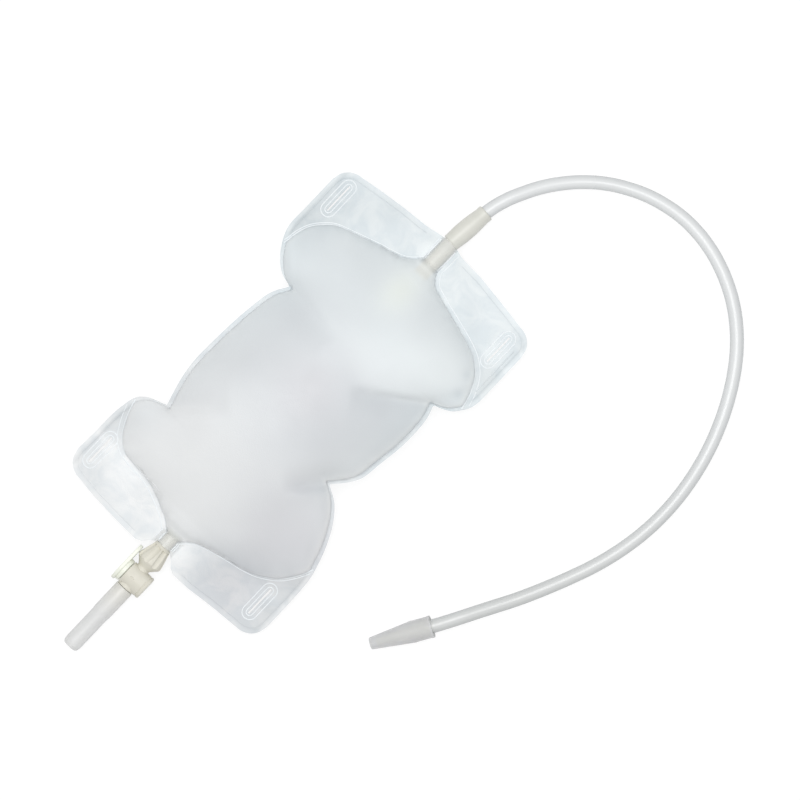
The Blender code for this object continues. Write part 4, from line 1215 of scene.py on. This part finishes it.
def makeCoupling():
    r, length, socket, grip = coupling["radius"], coupling["length"], 4.3, coupling["grip"]
    rings = [
        (2.2, -4.5), (2.75, -4.5), (3.1, -4.1), (3.1, 0.35), (4.9, 0.35), (5.02, -2.3), (5.2, -2.4),
        (5.3, -2.2), (5.3, -0.8), (r - 0.25, 1.2), (r, 4.5), (r + 0.05, 8.0), (r, 12.0), (r - 0.3, 16.5),
        (r - 0.75, length - 3.2), (r - 0.8, length - 2.6), (r - 0.65, length - 2.0), (r - 0.65, length - 0.6),
        (r - 0.75, length - 0.2), (r - 0.95, length), (socket + 0.15, length), (socket, length - 0.3),
        (socket, length - grip - 0.3), (2.2, length - grip - 0.3),
    ]
    dressing = ("coupling", "bag", "coupling_pvc", "tube_coupling")
    return turnedPiece("tubeCoupling", rings, 72, couplingFrame(), dressing, angle=50)


makeCoupling()
print("ports and coupling made")


# Lever tap

tap = {
    "from": -114.0,  # y of the collar's mouth
    "length": 17.0,
    "mouth": 5.0,
    "step": 6.1,
    "radius": 7.9,
    "neck": 4.0,
    "socket": 4.3,
    "socketDepth": 12.3,
    "barrelAt": 24.65,
    "barrel": 7.35,
    "barrelLeft": -5.5,
    "barrelRight": 9.3,
    "spigotEnd": 51.0,
    "grips": 8,
}
tapY = tap["from"] - tap["barrelAt"]


def makeTapBody():
    s = tap
    rear = s["barrelAt"] + 0.5 * s["barrel"]
    stop = s["barrelAt"] + s["barrel"] + 0.1  # the shoulder that the spout is pushed up to
    end, length, depth = s["spigotEnd"], s["length"], s["socketDepth"]
    rings = [
        (0.4, end), (2.9, end), (3.75, end - 3.0), (3.3, end - 3.6), (3.3, stop), (5.1, stop),
        (5.35, stop - 0.25), (5.35, rear), (s["neck"], rear - 1.0), (s["neck"], length - 0.4),
        (4.6, length - 1.2), (7.3, 12.9), (s["radius"], 12.1), (s["radius"], 11.4), (7.75, 10.2), (6.5, 5.4),
        (s["step"], 4.1), (5.9, 3.6), (5.3, 0.9), (s["mouth"], 0.25), (s["mouth"] - 0.2, 0.0),
        (s["socket"], 0.0), (s["socket"], depth), (0.4, depth),
    ]
    body = turnRings("tapBody", rings, 72)
    collar = inBag(0, s["from"], portZ) @ alongDown
    place(body, collar)
    r, low, high = s["barrel"], s["barrelLeft"], s["barrelRight"]
    barrelRings = [
        (0.4, high), (r - 1.3, high), (r - 0.5, high - 0.15), (r - 0.1, high - 0.6), (r, high - 1.2),
        (r, high - 1.7), (r - 0.35, high - 1.95), (r - 0.35, high - 2.3), (r, high - 2.6), (r, low + 0.5),
        (r - 0.15, low + 0.15), (r - 0.5, low), (0.4, low),
    ]
    centre = inBag(0, tapY, portZ) @ crosswise
    barrel = turnRings("barrel", barrelRings, 96)
    cutAt(body, barrel, centre @ Matrix.Rotation(0.03, 4, "Z"), "UNION")
    # flutes round the collar's flare, for the grip
    lean = Matrix.Translation((8.6 * mm, 0, 9.0 * mm)) @ turnBy(15, "Y")
    for k in range(s["grips"]):
        cutAt(body, newRod(24, 2.3, 16), collar @ turnBy(360 * (k + 0.28) / s["grips"], "Z") @ lean)
    head, hole = 5.4, 4.8
    holeRings = [
        (0.4, high + 1), (head, high + 1), (head, high - 1.8), (hole, high - 1.8), (hole, low - 1),
        (0.4, low - 1),
    ]
    cutAt(body, turnRings("chamber", holeRings, 64), centre @ Matrix.Rotation(0.017, 4, "Z"))
    flow = turnRings("flow", [(2.0, depth - 1), (2.0, end + 1)], 40)
    cutAt(body, flow, collar @ Matrix.Rotation(0.02, 4, "Z"))
    # gate mark on top of the barrel
    dimple = newPiece(bpy.ops.mesh.primitive_uv_sphere_add, segments=32, ring_count=16, radius=1)
    oval = Matrix.Diagonal((1.5 * mm, 0.75 * mm, 0.75 * mm, 1))
    cutAt(body, dimple, inBag(-0.5, tapY - 0.15, portZ + s["barrel"] + 0.25) @ oval)
    softenEdges(body, 0.12, 1, 50)
    smoothShade(body, 35)
    return dress(body, "tap", "bag", "tap_ivory", "tap_body")


makeTapBody()
print("tap body made")

lever = {
    "inner": -8.2,  # x of the arm's inner face
    "thick": 2.1,
    "reach": 16.65,
    "tail": 8.35,
    "half": 4.6,
    "hub": 7.2,
    "plug": 4.5,
    "head": 5.1,
}


def makeLever():
    s = lever
    high, low = tap["barrelRight"], tap["barrelLeft"] - slack
    head, hubEnd = high - 1.5, s["inner"] - s["thick"] / 2
    rings = [
        (0.4, high - 0.35), (1.6, high - 0.35), (2.0, high), (s["head"] - 0.5, high),
        (s["head"] - 0.1, high - 0.5), (s["head"], head + 0.4), (s["head"], head), (s["plug"], head),
        (s["plug"], low), (s["hub"] - 0.4, low), (s["hub"], low - 0.4), (s["hub"], hubEnd), (0.4, hubEnd),
    ]
    body = turnRings("tapLever", rings, 72)
    # the flat arm: a disc drawn out towards the bag, then rimmed
    disc = bpy.ops.mesh.primitive_circle_add
    plate = newPiece(disc, vertices=96, radius=s["tail"] * mm, fill_type="NGON")
    reach, half = s["reach"] * mm, s["half"] * mm
    for v in plate.data.vertices:
        a = math.atan2(v.co.y, v.co.x)
        if a > 0:  # the arm's side of the disc narrows to a round tip
            v.co.x, v.co.y = half * math.cos(a), (reach - half) + half * math.sin(a)
    only(plate)
    bpy.ops.object.mode_set(mode="EDIT")
    bpy.ops.mesh.select_all(action="SELECT")
    bpy.ops.mesh.extrude_region_move(TRANSFORM_OT_translate={"value": (0, 0, -s["thick"] * mm)})
    faceOutward()
    # a shallow panel in the outer face
    bm = bmesh.from_edit_mesh(plate.data)
    for face in bm.faces:
        face.select = face.normal.z < -0.9
    bm.select_flush(False)
    bmesh.update_edit_mesh(plate.data)
    bpy.ops.mesh.inset(thickness=1.1 * mm)
    bpy.ops.mesh.extrude_region_move(TRANSFORM_OT_translate={"value": (0, 0, 0.5 * mm)})
    bpy.ops.transform.resize(value=(0.97, 0.985, 1))
    bpy.ops.object.mode_set(mode="OBJECT")
    softenEdges(plate, 0.4, 3, 60)
    cutAt(body, plate, Matrix.Translation((0, 0, s["inner"] * mm)), "UNION")
    # ribs under the thumb
    for k in range(4):
        rib = newRod(16, 0.35, 5.6 - 0.5 * k)
        at = Vector((0, 9.4 + 1.5 * k, s["inner"] - s["thick"] + 0.45)) * mm
        cutAt(body, rib, Matrix.Translation(at) @ crosswise, "UNION")
    cutAt(body, turnRings("through", [(1.9, -6), (1.9, 6)], 32), crosswise)
    place(body, inBag(0, tapY, portZ) @ crosswise)
    smoothShade(body, 35)
    return dress(body, "lever", "lever", "lever_green", "tap_lever")


makeLever()
print("tap lever made")

spout = {
    "from": tapY - tap["barrel"] - slack,
    "length": 45.7,
    "inner": 4.05,
    "outer": 5.6,
    "grip": 18.7,  # length that the spigot widens
    "slim": 0.3,
    "mouth": 3.05,
    "nose": 4.0,
}


def makeSpout():
    s = spout
    outer, inner, slim, length, grip = s["outer"], s["inner"], s["slim"], s["length"], s["grip"]
    free = outer - slim
    rings = [(s["mouth"], length)]
    for a in np.radians([90, 78, 66, 54, 42, 30, 18, 8, 0]):
        inward = (free - s["mouth"] - 0.7) * (1 - math.cos(a))
        rings.append((free - inward, length - s["nose"] * (1 - math.sin(a))))
    rings += [
        (free, grip + 2.2), (outer - 0.1, grip + 0.6), (outer, grip - 0.6), (outer + 0.02, 8.0), (outer, 0.5),
        (outer - 0.15, 0.15), (outer - 0.5, 0.0), (inner + 0.2, 0.0), (inner, 0.2), (inner, grip),
        (inner - slim, grip + 0.8), (inner - slim, length - s["nose"]), (s["mouth"] + 0.05, length - 0.4),
    ]
    dressing = ("spout", "bag", "spout_clear", "outlet_spout")
    return turnedPiece("outletSpout", rings, 72, inBag(0, s["from"], portZ) @ alongDown, dressing, angle=50)


makeSpout()
print("spout made")


# Floor, light and background

studio = {
    "world": 0.54,
    "key": 14.0,  # W of the large softbox overhead
    "offset": (-0.17, 0.05),  # of its centre from the view's, in the bag's x and y
    "height": 1.55,
    "box": 1.0,
}


def makeFloor():
    floor = newPiece(bpy.ops.mesh.primitive_plane_add, at=(0, 0, -0.0006), size=8)
    floor.name = "floor"
    mat = bpy.data.materials.new("floorWhite")
    mat.use_nodes = True
    tree = mat.node_tree
    plain = tree.nodes["Principled BSDF"]
    feed(tree, plain, {"Base Color": (0.85, 0.85, 0.85), "Roughness": 0.9, "Specular IOR Level": 0.0})
    shadow = tree.nodes.new("ShaderNodeBsdfDiffuse")
    feed(tree, shadow, {"Color": (0.22, 0.22, 0.22)})
    glow = tree.nodes.new("ShaderNodeEmission")
    feed(tree, glow, {"Strength": 0.83})
    both = tree.nodes.new("ShaderNodeAddShader")
    feed(tree, both, {0: shadow.outputs[0], 1: glow.outputs[0]})
    # what is seen, straight or through a piece or in its shine, is the near-white with the shadow on it
    path = tree.nodes.new("ShaderNodeLightPath").outputs
    seen = mathOf(tree, "MAXIMUM", path["Is Camera Ray"], path["Is Transmission Ray"])
    seen = mathOf(tree, "MAXIMUM", seen, path["Is Glossy Ray"])
    mix = tree.nodes.new("ShaderNodeMixShader")
    feed(tree, mix, {"Fac": seen, 1: plain.outputs[0], 2: both.outputs[0]})
    feed(tree, tree.nodes["Material Output"], {"Surface": mix.outputs[0]})
    floor.data.materials.append(mat)


def makeLights():
    x, y = camera["centre"]
    centre = Vector((x * mm, y * mm, 0))
    data = bpy.data.lights.new("softbox", "AREA")
    data.shape = "SQUARE"
    data.size = studio["box"]
    data.energy = studio["key"]
    obj = linked("softbox", data)
    obj.location = centre + Vector((*studio["offset"], studio["height"]))
    obj.rotation_euler = (centre - obj.location).to_track_quat("-Z", "Y").to_euler()
    world = bpy.data.worlds.new("studio")
    bpy.context.scene.world = world
    world.use_nodes = True
    tree = world.node_tree
    back = tree.nodes["Background"]
    feed(tree, back, {"Color": white, "Strength": studio["world"]})
    plain = tree.nodes.new("ShaderNodeBackground")
    feed(tree, plain, {"Strength": 1.0})
    seen = tree.nodes.new("ShaderNodeLightPath").outputs["Is Camera Ray"]
    mix = tree.nodes.new("ShaderNodeMixShader")
    feed(tree, mix, {"Fac": seen, 1: back.outputs[0], 2: plain.outputs[0]})
    feed(tree, tree.nodes["World Output"], {"Surface": mix.outputs[0]})


makeFloor()
makeLights()
bpy.context.scene.view_settings.view_transform = "Standard"
print("studio made")
